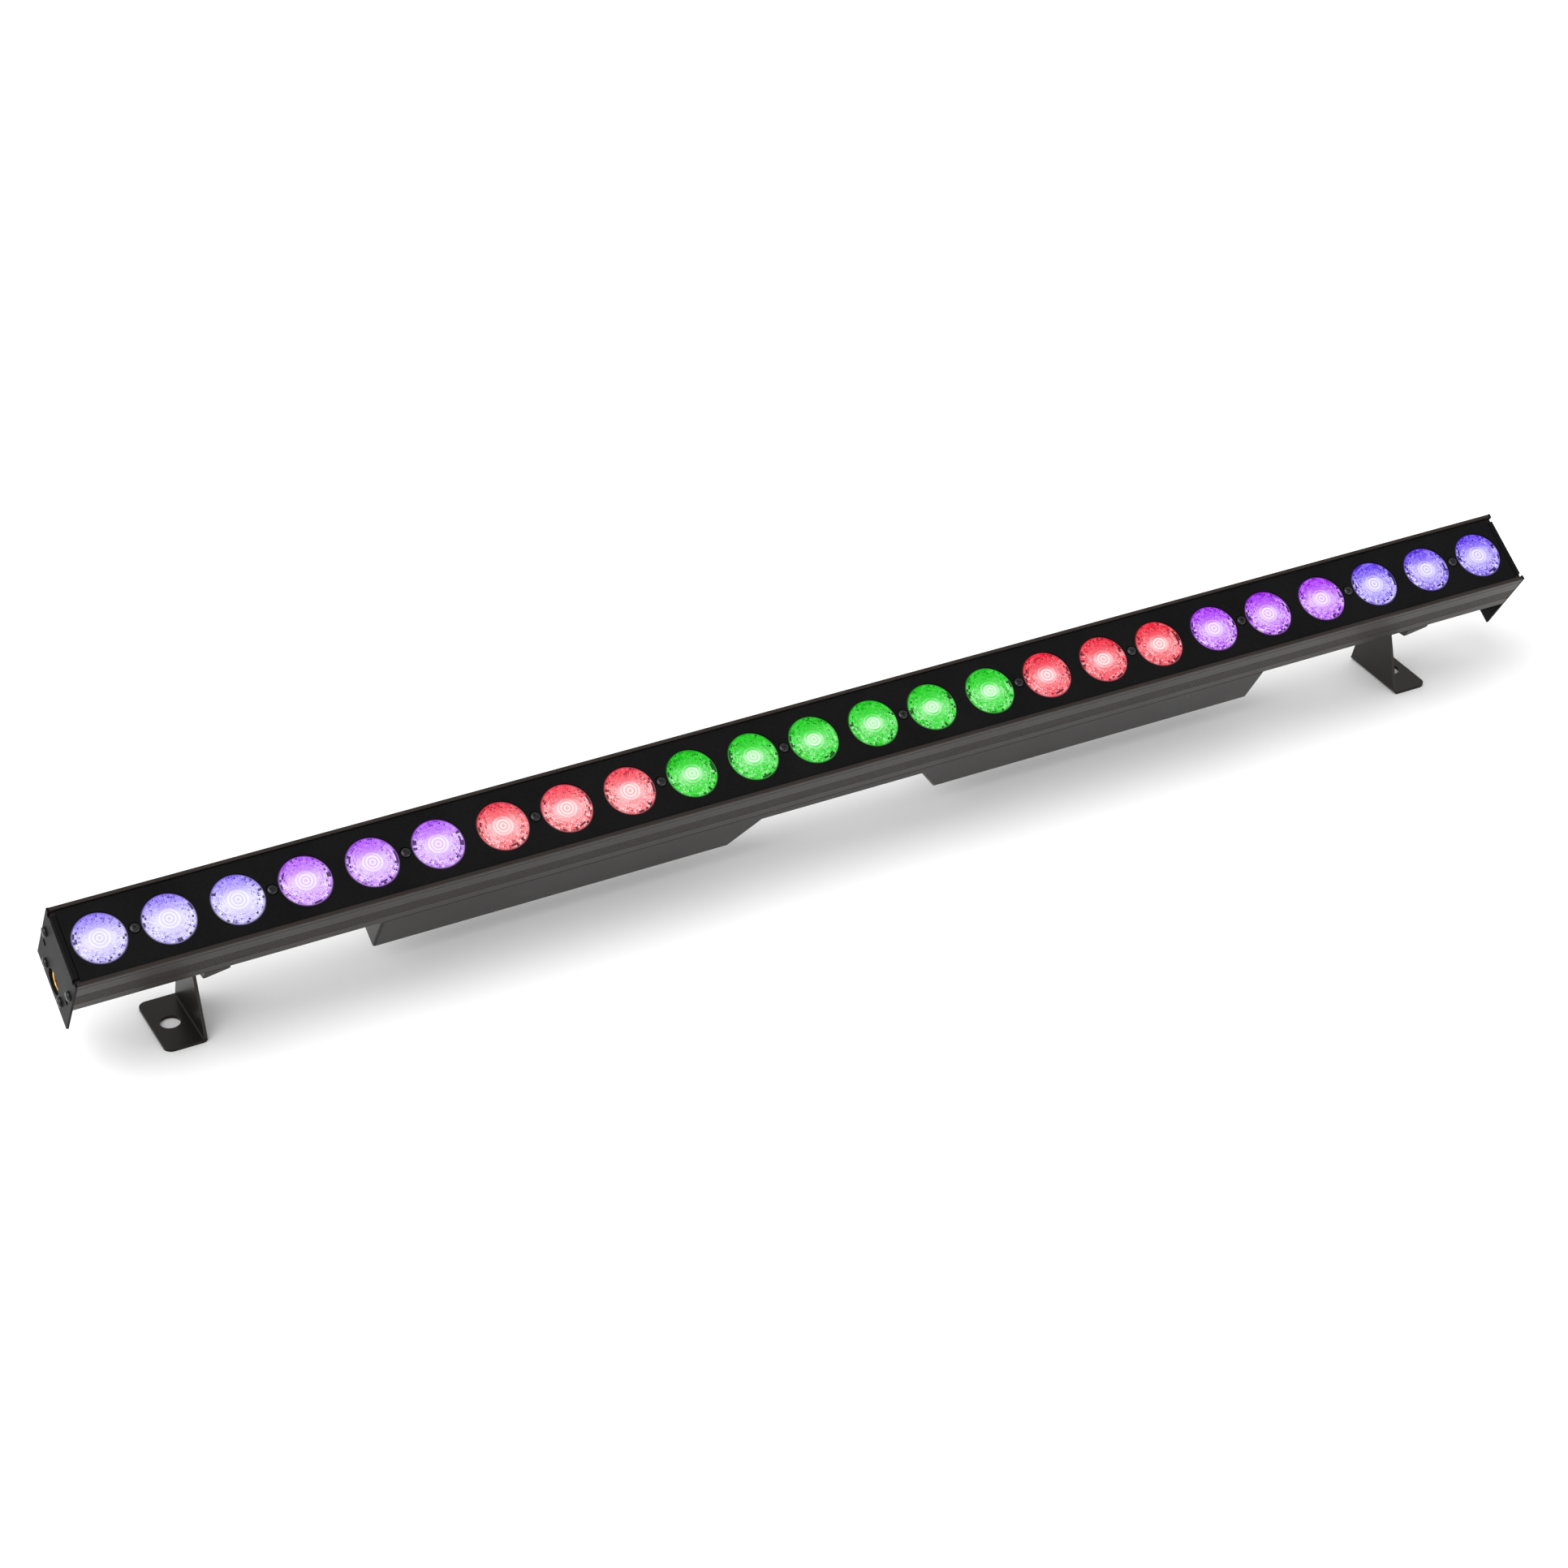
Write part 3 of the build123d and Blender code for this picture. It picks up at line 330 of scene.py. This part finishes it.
# %% Colours of the lenses
LENS_COLOURS = {  # rim colour, pale colour, how far the pale colour reaches, spread of beads
    "lens_lavender": ((0.20, 0.10, 0.95), (0.74, 0.68, 1.0), 1.02, 0.60),
    "lens_violet": ((0.40, 0.05, 0.95), (0.78, 0.48, 1.0), 0.94, 0.70),
    "lens_rose": ((0.86, 0.02, 0.06), (1.0, 0.36, 0.38), 0.90, 0.70),
    "lens_green": ((0.0, 0.55, 0.0), (0.20, 1.0, 0.20), 0.68, 0.95),
    "lens_red": ((0.84, 0.0, 0.03), (1.0, 0.34, 0.38), 0.74, 0.85),
    "lens_magenta": ((0.36, 0.0, 0.90), (0.76, 0.36, 1.0), 0.82, 0.95),
    "lens_blue": ((0.09, 0.01, 0.85), (0.60, 0.48, 1.0), 0.84, 0.95),
}
print(len(LENS_COLOURS), "lens colours")

# %% Lens material
PALE_FADE, LOBE_PALENESS, FAR_PALENESS = -0.55, 0.12, -0.26
LOBE_CORE = 0.02                # keeps the lobes soft in the very middle
RIPPLE_WAVES, RIPPLE_DEPTH = 48.0, 0.24
# the next five are each the slope and the start of a straight line, for line() above
HOT_CORE = (-2.6, 1.15)
RIPPLE_REACH = (-4.5, 2.2)
WHITE_FROM = (2.6, -1.75)       # only the palest spots turn to white
RIM_EDGE = (-9.0, 9.2)
BEAD_LIGHT = (5.0, 0.15)        # only the lowest glints go dark
UNLIT_PLASTIC, LIT_SHARE = (0.01, 0.01, 0.012), 0.03
LENS_ROUGHNESS, LENS_SPECULAR = 0.12, 0.2
WHITE, BLACK = (1.0, 1.0, 1.0), (0.0, 0.0, 0.0)


def lens_material(name, rim, pale, reach, spread):
    """A glowing face: white in the middle, pale in two lobes, and pure colour at the rim."""
    material = bpy.data.materials.new(name)
    material.use_nodes = True
    tree = material.node_tree
    shader = tree.nodes["Principled BSDF"]
    uv = tree.nodes.new("ShaderNodeUVMap")
    uv.uv_map = "face"
    split = tree.nodes.new("ShaderNodeSeparateXYZ")
    tree.links.new(uv.outputs["UV"], split.inputs["Vector"])
    glint = tree.nodes.new("ShaderNodeAttribute")
    glint.attribute_name = "glint"

    # distance from the middle, and the two lobes
    across = line(tree, split.outputs["X"], 2.0, -1.0)
    upward = line(tree, split.outputs["Y"], 2.0, -1.0)
    across_squared = math_node(tree, "MULTIPLY", across, across)
    upward_squared = math_node(tree, "MULTIPLY", upward, upward)
    squared = math_node(tree, "ADD", across_squared, upward_squared)
    radius = math_node(tree, "SQRT", squared)
    lobe = math_node(tree, "DIVIDE", math_node(tree, "SUBTRACT", across_squared, upward_squared),
                     math_node(tree, "MAXIMUM", squared, LOBE_CORE))

    # how pale each spot is
    paleness = line(tree, radius, PALE_FADE, reach)
    paleness = line(tree, lobe, LOBE_PALENESS, paleness)
    paleness = line(tree, upward, FAR_PALENESS, paleness)
    bead = line(tree, glint.outputs["Fac"], spread, -0.5 * spread)
    paleness = math_node(tree, "ADD", paleness, bead)
    core = line(tree, radius, *HOT_CORE, clamp=True)
    paleness = math_node(tree, "ADD", paleness, core, clamp=True)
    waves = math_node(tree, "SINE", math_node(tree, "MULTIPLY", radius, RIPPLE_WAVES))
    rippled = line(tree, radius, *RIPPLE_REACH, clamp=True)
    ripple_dip = math_node(tree, "MULTIPLY", line(tree, waves, 0.5, 0.5),
                           math_node(tree, "MULTIPLY", rippled, RIPPLE_DEPTH))
    paleness = math_node(tree, "SUBTRACT", paleness, ripple_dip)

    # colour, and the shade of the edge and of the darkest beads
    colour = blended(tree, paleness, rim, pale)
    colour = blended(tree, line(tree, paleness, *WHITE_FROM, clamp=True), colour, WHITE)
    edge = line(tree, radius, *RIM_EDGE, clamp=True)
    bead_light = line(tree, glint.outputs["Fac"], *BEAD_LIGHT, clamp=True)
    shade = math_node(tree, "MULTIPLY", edge, bead_light)
    tree.links.new(blended(tree, shade, BLACK, colour), shader.inputs["Emission Color"])
    shader.inputs["Emission Strength"].default_value = 1.0
    lit_plastic = [LIT_SHARE * channel for channel in rim]
    tree.links.new(blended(tree, shade, UNLIT_PLASTIC, lit_plastic),
                   shader.inputs["Base Color"])
    shader.inputs["Roughness"].default_value = LENS_ROUGHNESS
    shader.inputs["Specular IOR Level"].default_value = LENS_SPECULAR
    finishes[name] = material


for slot_name, colours in LENS_COLOURS.items():
    lens_material(slot_name, *colours)
print(len(finishes), "finishes in all")

# %% [markdown]
# ## Finishes on the CAD nodes
# The record says which slot each node is painted from and which body it moves with. Nodes that
# stay as they are in CAD, such as the boards, are finished straight from that list, and the
# same two tables finish the pieces that are modelled later.

# %% Every CAD node takes its slot's finish
slot_of = {sub["node"]: sub["material_slot"] for sub in frame["record"]["subparts"]}
for node_name, node in frame["nodes"].items():
    node.data.materials.clear()
    node.data.materials.append(finishes[slot_of[node_name]])
body_of = {name: body for body, names in frame["record"]["behaviour"]["bodies"].items()
           for name in names}
print(len(slot_of), "nodes finished")

# %% [markdown]
# ## Two ways to make a piece
# Turned parts, such as screws, bushes and lenses, start as a ring of points. The ring is
# extruded and resized from one station of the outline to the next, as a lathe would leave it.
# Bent and drawn parts already have the right shape in CAD, but their edges are sharp as
# paper. A copy is merged, its flat faces are joined up, and a small bevel eases every edge,
# so that each one catches a thin line of light. Normals weighted by area then keep the wide
# faces looking flat beside the narrow ones.

# %% Helpers for selection and shading
CRISP_ABOVE = 35    # degrees between two faces, past which their edge stays crisp


def start_clean():
    """Back to object mode with nothing selected."""
    if bpy.context.mode != "OBJECT":
        bpy.ops.object.mode_set(mode="OBJECT")
    bpy.ops.object.select_all(action="DESELECT")


def work_on(piece):
    """Object mode, with this one piece selected and active."""
    start_clean()
    piece.select_set(True)
    bpy.context.view_layer.objects.active = piece


def pick_faces(piece, wanted):
    """In edit mode afterwards, with the faces selected for which wanted(face) is true."""
    bpy.ops.object.mode_set(mode="EDIT")
    bpy.ops.mesh.select_mode(type="FACE")
    bpy.ops.mesh.select_all(action="DESELECT")
    bpy.ops.object.mode_set(mode="OBJECT")
    for face in piece.data.polygons:
        face.select = wanted(face)
    bpy.ops.object.mode_set(mode="EDIT")


def smooth(piece, degrees=CRISP_ABOVE):
    """Smooth shading with edges sharper than the angle left crisp."""
    work_on(piece)
    bpy.ops.object.shade_smooth_by_angle(angle=math.radians(degrees))


def apply_modifier(piece, modifier):
    """The piece's mesh becomes what the modifier makes of it."""
    work_on(piece)
    bpy.ops.object.modifier_apply(modifier=modifier.name)


def copy_of(source, name):
    """A new object with its own copy of another one's mesh."""
    piece = bpy.data.objects.new(name, source.data.copy())
    bpy.context.scene.collection.objects.link(piece)
    return piece


print("edges over", CRISP_ABOVE, "degrees stay crisp")

# %% Helper for turned pieces
POLE = 0.01 * MM    # a pole starts as a ring this small, and is merged into one point


def turned(name, outline, segments):
    """A closed piece turned about z from an outline of (radius, height) pairs in mm."""
    stations = [(radius * MM or POLE, height * MM) for radius, height in outline]
    radius, height = stations[0]
    start_clean()
    bpy.ops.mesh.primitive_circle_add(vertices=segments, radius=radius, location=(0, 0, height))
    piece = bpy.context.object
    piece.name = piece.data.name = name
    bpy.ops.object.mode_set(mode="EDIT")
    bpy.ops.mesh.select_all(action="SELECT")
    for next_radius, next_height in stations[1:]:
        bpy.ops.mesh.extrude_edges_move(
            TRANSFORM_OT_translate={"value": (0, 0, next_height - height)})
        scale = next_radius / radius
        bpy.ops.transform.resize(value=(scale, scale, 1), center_override=(0, 0, next_height))
        radius, height = next_radius, next_height
    bpy.ops.mesh.select_all(action="SELECT")
    bpy.ops.mesh.remove_doubles(threshold=3 * POLE)
    bpy.ops.mesh.normals_make_consistent(inside=False)
    bpy.ops.object.mode_set(mode="OBJECT")
    bpy.ops.object.transform_apply(location=True, rotation=True, scale=True)
    return piece


print("poles are rings of", round(POLE / MM, 3), "mm")

# %% Helpers for eased copies
EASED_ABOVE = 32                # degrees between two faces, past which their edge is eased
EASE_SEGMENTS = 2
FLAT_WITHIN = math.radians(0.6)
MERGE_WITHIN = 0.004 * MM


def keep_flats_flat(piece):
    """Normals weighted by area, so that wide flat faces shade evenly beside small ones."""
    weighted = piece.modifiers.new("flats", "WEIGHTED_NORMAL")
    weighted.keep_sharp = True
    apply_modifier(piece, weighted)


def ease(piece, width, clamp):
    """A small bevel in mm on every sharp edge, held back where edges crowd if clamped."""
    bevel = piece.modifiers.new("ease", "BEVEL")
    bevel.width = width * MM
    bevel.segments = EASE_SEGMENTS
    bevel.limit_method = "ANGLE"
    bevel.angle_limit = math.radians(EASED_ABOVE)
    bevel.use_clamp_overlap = clamp
    apply_modifier(piece, bevel)


def finish_piece(piece, node_name):
    """The finish of the CAD node's slot, and the node's body, for a finished piece that stands for it."""
    piece.data.materials.clear()
    piece.data.materials.append(finishes[slot_of[node_name]])
    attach(piece, body_of[node_name])
    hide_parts(node_name)


def eased_copy(node_name, width, crisp_above=CRISP_ABOVE, join_flats=True):
    """A merged copy of a CAD node with its sharp edges eased, standing for that node."""
    piece = copy_of(frame["nodes"][node_name], f"{node_name}_eased")
    work_on(piece)
    if piece.data.has_custom_normals:
        bpy.ops.mesh.customdata_custom_splitnormals_clear()
    bpy.ops.object.mode_set(mode="EDIT")
    bpy.ops.mesh.select_all(action="SELECT")
    bpy.ops.mesh.remove_doubles(threshold=MERGE_WITHIN)
    if join_flats:
        bpy.ops.mesh.dissolve_limited(angle_limit=FLAT_WITHIN)
    bpy.ops.object.mode_set(mode="OBJECT")
    if width:
        ease(piece, width, clamp=not join_flats)
    smooth(piece, crisp_above)
    keep_flats_flat(piece)
    finish_piece(piece, node_name)
    return piece


print("edges over", EASED_ABOVE, "degrees are eased")

# %% [markdown]
# ## Channel, panel, ends and cover
# The channel has two rounded lips and fine flutes along both sides, which is what breaks up
# its reflection into dark and light bands. Both are round in CAD already, so the channel is
# only merged and smoothed. The panel lies between the lips, and the light catches its edge and
# the rim of each opening, so it and the other bent or cut pieces get eased edges. The floor
# brackets keep their small flat faces, because once those are joined the bevel spoils the fold
# of the foot.

# %% Sheet and drawn parts
CHANNEL_CRISP_ABOVE = 40
EASED = {"lens_panel": 0.22, "end_plate_left": 0.18, "end_plate_right": 0.18,
         "driver_cover": 0.2, "bracket_left": 0.35, "bracket_right": 0.35,
         "hanger_left": 0.3, "hanger_right": 0.3, "link_blocks": 0.3,
         "clamp_knob_left": 0.5, "clamp_knob_right": 0.5, "pivot_bolts": 0.25,
         "power_inlet": 0.15, "power_outlet": 0.15, "data_inlet": 0.15, "data_outlet": 0.15,
         "data_latch": 0.2, "display_window": 0.3}  # bevel widths in mm
copies = [eased_copy(name, width, join_flats=not name.startswith("bracket"))
          for name, width in EASED.items()]
copies.append(eased_copy("housing_extrusion", 0, crisp_above=CHANNEL_CRISP_ABOVE))
print(len(copies), "copies,", sum(len(piece.data.polygons) for piece in copies), "faces")

# %% [markdown]
# ## Beaded lenses
# The face of the moulding has rows of small pyramids that spread the beam, finer towards the
# middle, and a few ripples round the centre. Poking each face of a ring pattern makes exactly
# such pyramids. One lens is modelled, all 24 are copies of it with their own mesh, and the
# model itself is then removed.

# %% Outline of one lens
LENS_R = 16.0 * MM
BEAD_ROWS, BEADS_ROUND = 12, 56
BEAD_OUTER, BEAD_INNER = 15.4, 5.4
ROW_SHRINK = (BEAD_INNER / BEAD_OUTER) ** (1 / BEAD_ROWS)   # each row against the one outside it
FACE_DROP, ROW_RISE = -0.6, 0.02    # the face below the panel's top, and its slight crown
RIPPLES, RIPPLE_CREST, RIPPLE_TROUGH = 5, -0.30, -0.40
BACK_AND_CONE = [(0, -12.6), (6, -12.6), (15.0, -3.2)]
FLANGE = [(17.3, -3.0), (17.3, -2.05), (16.0, -2.05)]
FACE_EDGE = [(16.0, -0.85), (15.75, -0.6)]
lens_outline = BACK_AND_CONE + FLANGE + FACE_EDGE
lens_outline += [(BEAD_OUTER * ROW_SHRINK ** row, FACE_DROP + ROW_RISE * row)
                 for row in range(BEAD_ROWS + 1)]
ripple_width = BEAD_INNER / RIPPLES
for ripple in range(RIPPLES):
    lens_outline.append((BEAD_INNER - (ripple + 0.5) * ripple_width, RIPPLE_CREST))
    lens_outline.append((BEAD_INNER - (ripple + 1) * ripple_width, RIPPLE_TROUGH))
print("lens outline", len(lens_outline), "points")

# %% One lens
BEADS_ABOVE = -0.7 * MM     # the beaded face is above this height, the rest of the lens below
ROW_MARGIN = 0.02
BEAD_POKE, BEAD_CRISP_ABOVE = 0.16, 12
lens = turned("lens_first", lens_outline, BEADS_ROUND)


def in_bead_rows(face):
    """True for the faces of the beaded rows on the front of the lens."""
    reach = math.hypot(face.center.x, face.center.y) / MM
    return BEAD_INNER < reach < BEAD_OUTER - ROW_MARGIN and face.center.z > BEADS_ABOVE


pick_faces(lens, in_bead_rows)
bpy.ops.mesh.poke(offset=BEAD_POKE, use_relative_offset=True)
bpy.ops.object.mode_set(mode="OBJECT")
smooth(lens, BEAD_CRISP_ABOVE)
print("lens", len(lens.data.polygons), "faces")

# %% UV map of the lens
lens_uv = lens.data.uv_layers.new(name="face")
for loop in lens.data.loops:
    spot = lens.data.vertices[loop.vertex_index].co
    lens_uv.data[loop.index].uv = (0.5 + 0.5 * spot.x / LENS_R, 0.5 + 0.5 * spot.y / LENS_R)
print("lens UV", lens_uv.name)

# %% [markdown]
# ## Glints
# A real bead is bright or dark by the way it leans towards the chips, and no two are moulded
# quite alike. Lamps inside could show that, but a number for each facet is quicker and stays
# the same at every tilt: how far it leans outwards and around, plus a share of chance that
# grows towards the rim. In three directions near the rim some beads get no light at all.

# %% Glint of each facet
PLAIN_GLINT, DIMMEST_GLINT = 0.5, 0.06
OUTWARD_GAIN, AROUND_GAIN = 1.1, 0.9
BEAD_CHANCE = 0.34
DARK_WAYS = [math.radians(way) for way in (165, 0, -70)]
DARK_PAST, DARK_NARROWNESS, DARK_CHANCE = 0.80, 0.94, -0.1
UNLIT = -0.05


def glints(mesh, seed):
    """How bright each facet is: by the way it leans, with a share of chance."""
    chance = np.random.default_rng(seed)
    bead_chance = chance.normal(0, BEAD_CHANCE, (BEAD_ROWS, BEADS_ROUND))
    values = np.full(len(mesh.polygons), PLAIN_GLINT)
    for face in mesh.polygons:
        reach = math.hypot(face.center.x, face.center.y)
        if face.center.z < BEADS_ABOVE or not BEAD_INNER * MM < reach < BEAD_OUTER * MM:
            continue
        outward = (face.normal.x * face.center.x + face.normal.y * face.center.y) / reach
        around = (face.normal.y * face.center.x - face.normal.x * face.center.y) / reach
        share = reach / LENS_R
        angle = math.atan2(face.center.y, face.center.x)
        row = int(math.log(reach / (BEAD_OUTER * MM)) / math.log(ROW_SHRINK)) % BEAD_ROWS
        column = int(angle / math.tau * BEADS_ROUND) % BEADS_ROUND
        luck = bead_chance[row, column]
        value = (PLAIN_GLINT + OUTWARD_GAIN * outward + AROUND_GAIN * around
                 + luck * share ** 2)
        in_dark_way = max(math.cos(angle - way) for way in DARK_WAYS) > DARK_NARROWNESS
        if share > DARK_PAST and in_dark_way and luck < DARK_CHANCE:
            value = UNLIT
        values[face.index] = min(max(value, DIMMEST_GLINT if value > 0 else 0), 1)
    return values


print("dark ways at", [round(math.degrees(way)) for way in DARK_WAYS], "degrees")

# %% All 24 lenses
LENS_NODES = [f"lens_{number:02d}" for number in range(1, 25)]


def middle_x(node_name):
    """Where the middle of a CAD node is along the bar."""
    low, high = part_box(node_name)
    return (low.x + high.x) / 2


for number, node_name in enumerate(LENS_NODES, 1):
    piece = copy_of(lens, f"{node_name}_beaded")
    glint_layer = piece.data.attributes.new("glint", "FLOAT", "FACE")
    glint_layer.data.foreach_set("value", glints(piece.data, number).astype(np.float32))
    piece.data.transform(BAR @ Matrix.Translation((middle_x(node_name), 0, 0)))
    finish_piece(piece, node_name)
bpy.data.objects.remove(lens)
print(len(LENS_NODES), "lenses")

# %% [markdown]
# ## Screws
# A pan head is a turned button with a cross pressed into it. The cross could be cut with a
# knife, but a small four-armed cutter and a Boolean give crisp, even arms. The twelve panel
# screws lie between the lenses, where they show most, so they get such a head, and its copies
# are joined into one piece.
# The case screws and the hanger screws keep their CAD heads.

# %% Cross cutter
ARM_TAPER = (0.7, 0.7, 0.55)    # what is left of an arm's section at its tip
FACES_OUT, ON_AXIS = 0.9, 1e-7  # how a side of the small block is told from an arm's


def cross_cutter(arm, half_width, depth, top):
    """A four-armed cutter: a small block whose four sides are extruded outwards."""
    start_clean()
    bpy.ops.mesh.primitive_cube_add(size=1, location=(0, 0, top))
    cutter = bpy.context.object
    cutter.scale = (2 * half_width, 2 * half_width, 2 * depth)
    bpy.ops.object.transform_apply(location=False, rotation=False, scale=True)
    for axis in (0, 1):
        for sign in (-1, 1):
            pick_faces(cutter, lambda face: sign * face.normal[axis] > FACES_OUT
                       and abs(face.center[1 - axis]) < ON_AXIS)
            move = [0, 0, 0]
            move[axis] = sign * (arm - half_width)
            bpy.ops.mesh.extrude_region_move(TRANSFORM_OT_translate={"value": move})
            bpy.ops.transform.resize(value=ARM_TAPER)
            bpy.ops.object.mode_set(mode="OBJECT")
    return cutter


print("arms taper to", ARM_TAPER)

# %% Screw head
HEAD_SEGMENTS = 28


def screw_head(name, radius, height):
    """A pan head that stands on z 0, with a cross in its crown, sizes in mm."""
    outline = [(0, 0), (radius - 0.1, 0), (radius, 0.12), (radius, 0.45 * height),
               (0.94 * radius, 0.7 * height), (0.8 * radius, 0.88 * height),
               (0.6 * radius, height), (0, height)]
    head = turned(name, outline, HEAD_SEGMENTS)
    cutter = cross_cutter(arm=0.52 * radius * MM, half_width=0.11 * radius * MM,
                          depth=0.55 * height * MM, top=height * MM)
    cut = head.modifiers.new("cross", "BOOLEAN")
    cut.object = cutter
    cut.solver = "EXACT"
    apply_modifier(head, cut)
    bpy.data.objects.remove(cutter)
    smooth(head)
    return head


PANEL_HEAD_R, PANEL_HEAD_HEIGHT = 3.1, 2.0
panel_head = screw_head("panel_screw", PANEL_HEAD_R, PANEL_HEAD_HEIGHT)
print("screw head", len(panel_head.data.polygons), "faces")


# %% Panel screws
def set_of(name, master, places, node_name):
    """Copies of one master at several places, joined into the piece for a CAD node."""
    start_clean()
    ones = [copy_of(master, name) for _ in places]
    for one, place in zip(ones, places):
        one.data.transform(place)
        one.select_set(True)
    bpy.context.view_layer.objects.active = ones[0]
    bpy.ops.object.join()
    piece = bpy.context.object
    piece.name = name
    bpy.data.objects.remove(master)
    finish_piece(piece, node_name)
    return piece


SCREW_SEAT = -1.0 * MM      # the floor of the counterbores, below the panel's top
lens_x = [middle_x(node_name) for node_name in LENS_NODES]
screw_x = [(left + right) / 2 for left, right in zip(lens_x[0::2], lens_x[1::2])]
turns = np.random.default_rng(7)
panel_places = [BAR @ Matrix.Translation((x, 0, SCREW_SEAT))
                @ Matrix.Rotation(turns.uniform(0, math.pi), 4, "Z") for x in screw_x]
set_of("panel_screw_heads", panel_head, panel_places, "panel_screws")
print(len(panel_places), "panel screws")

# %% [markdown]
# ## Buttons and bushes
# The keys of the menu are low round buttons with a dished top, and the brass bushes are plain
# rings behind the holes of the end plates, with a chamfer at each end. Both are round all the
# way, so both are turned from an outline. The turning marks come from the brass finish. One
# bush is the mirror image of the other, which turns its faces inside out, so they are put right.

# %% Buttons
BUTTON_NODES = [f"button_{number}" for number in range(1, 5)]
CAP_R = 3.2                     # the flange that holds a button in is wider, and hidden
DISH, DISH_SIDE = 0.3, 0.22     # how deep the dish is, in its middle and halfway out
ROUND_IN, ROUND_DOWN = 0.3, 0.35
BUTTON_SEGMENTS = 36
into_bar = BAR.inverted()
face_down = Matrix.Rotation(math.pi, 4, "X")
for node_name in BUTTON_NODES:
    middle = middle_x(node_name)
    corners = [into_bar @ vertex.co for vertex in frame["nodes"][node_name].data.vertices]
    depths = [-corner.z / MM for corner in corners]
    inner, outer = min(depths), max(depths)
    node_r = max(math.hypot(corner.x - middle, corner.y) for corner in corners) / MM
    cap_r = min(node_r, CAP_R)
    outline = [(0, outer - DISH), (0.45 * cap_r, outer - DISH_SIDE), (0.75 * cap_r, outer),
               (cap_r - ROUND_IN, outer), (cap_r, outer - ROUND_DOWN),
               (cap_r, inner), (0, inner)]
    button = turned(f"{node_name}_dished", outline, BUTTON_SEGMENTS)
    button.data.transform(BAR @ Matrix.Translation((middle, 0, 0)) @ face_down)
    smooth(button)
    finish_piece(button, node_name)
print("buttons from", round(inner, 2), "to", round(outer, 2), "mm behind the lens face")

# %% Bushes
BORE_R, BUSH_R, BUSH_LENGTH = 5.25, 10, 14
BORE_MOUTH_R, BORE_CHAMFER, RIM_CHAMFER = 5.7, 0.5, 0.4
BUSH_SEGMENTS, BUSH_CRISP_ABOVE = 48, 30
BUSH_AT = (498.5 * MM, 0, -46 * MM)
inner_end, outer_end = BORE_CHAMFER, BUSH_LENGTH - BORE_CHAMFER
bush_outline = [(BORE_R, inner_end), (BORE_MOUTH_R, 0), (BUSH_R - RIM_CHAMFER, 0),
                (BUSH_R, RIM_CHAMFER), (BUSH_R, BUSH_LENGTH - RIM_CHAMFER),
                (BUSH_R - RIM_CHAMFER, BUSH_LENGTH), (BORE_MOUTH_R, BUSH_LENGTH),
                (BORE_R, outer_end), (BORE_R, inner_end)]
bush = turned("bush", bush_outline, BUSH_SEGMENTS)
smooth(bush, BUSH_CRISP_ABOVE)
along_bar = Matrix.Rotation(-math.pi / 2, 4, "Y")
mirrored = Matrix.Scale(-1, 4, (1, 0, 0))
bush_places = [BAR @ Matrix.Translation(BUSH_AT) @ along_bar,
               BAR @ mirrored @ Matrix.Translation(BUSH_AT) @ along_bar]
bush_piece = set_of("brass_bushes", bush, bush_places, "link_bushes")
bpy.ops.object.mode_set(mode="EDIT")
bpy.ops.mesh.select_all(action="SELECT")
bpy.ops.mesh.normals_make_consistent(inside=False)
bpy.ops.object.mode_set(mode="OBJECT")
print("bushes", len(bush_piece.data.polygons), "faces")
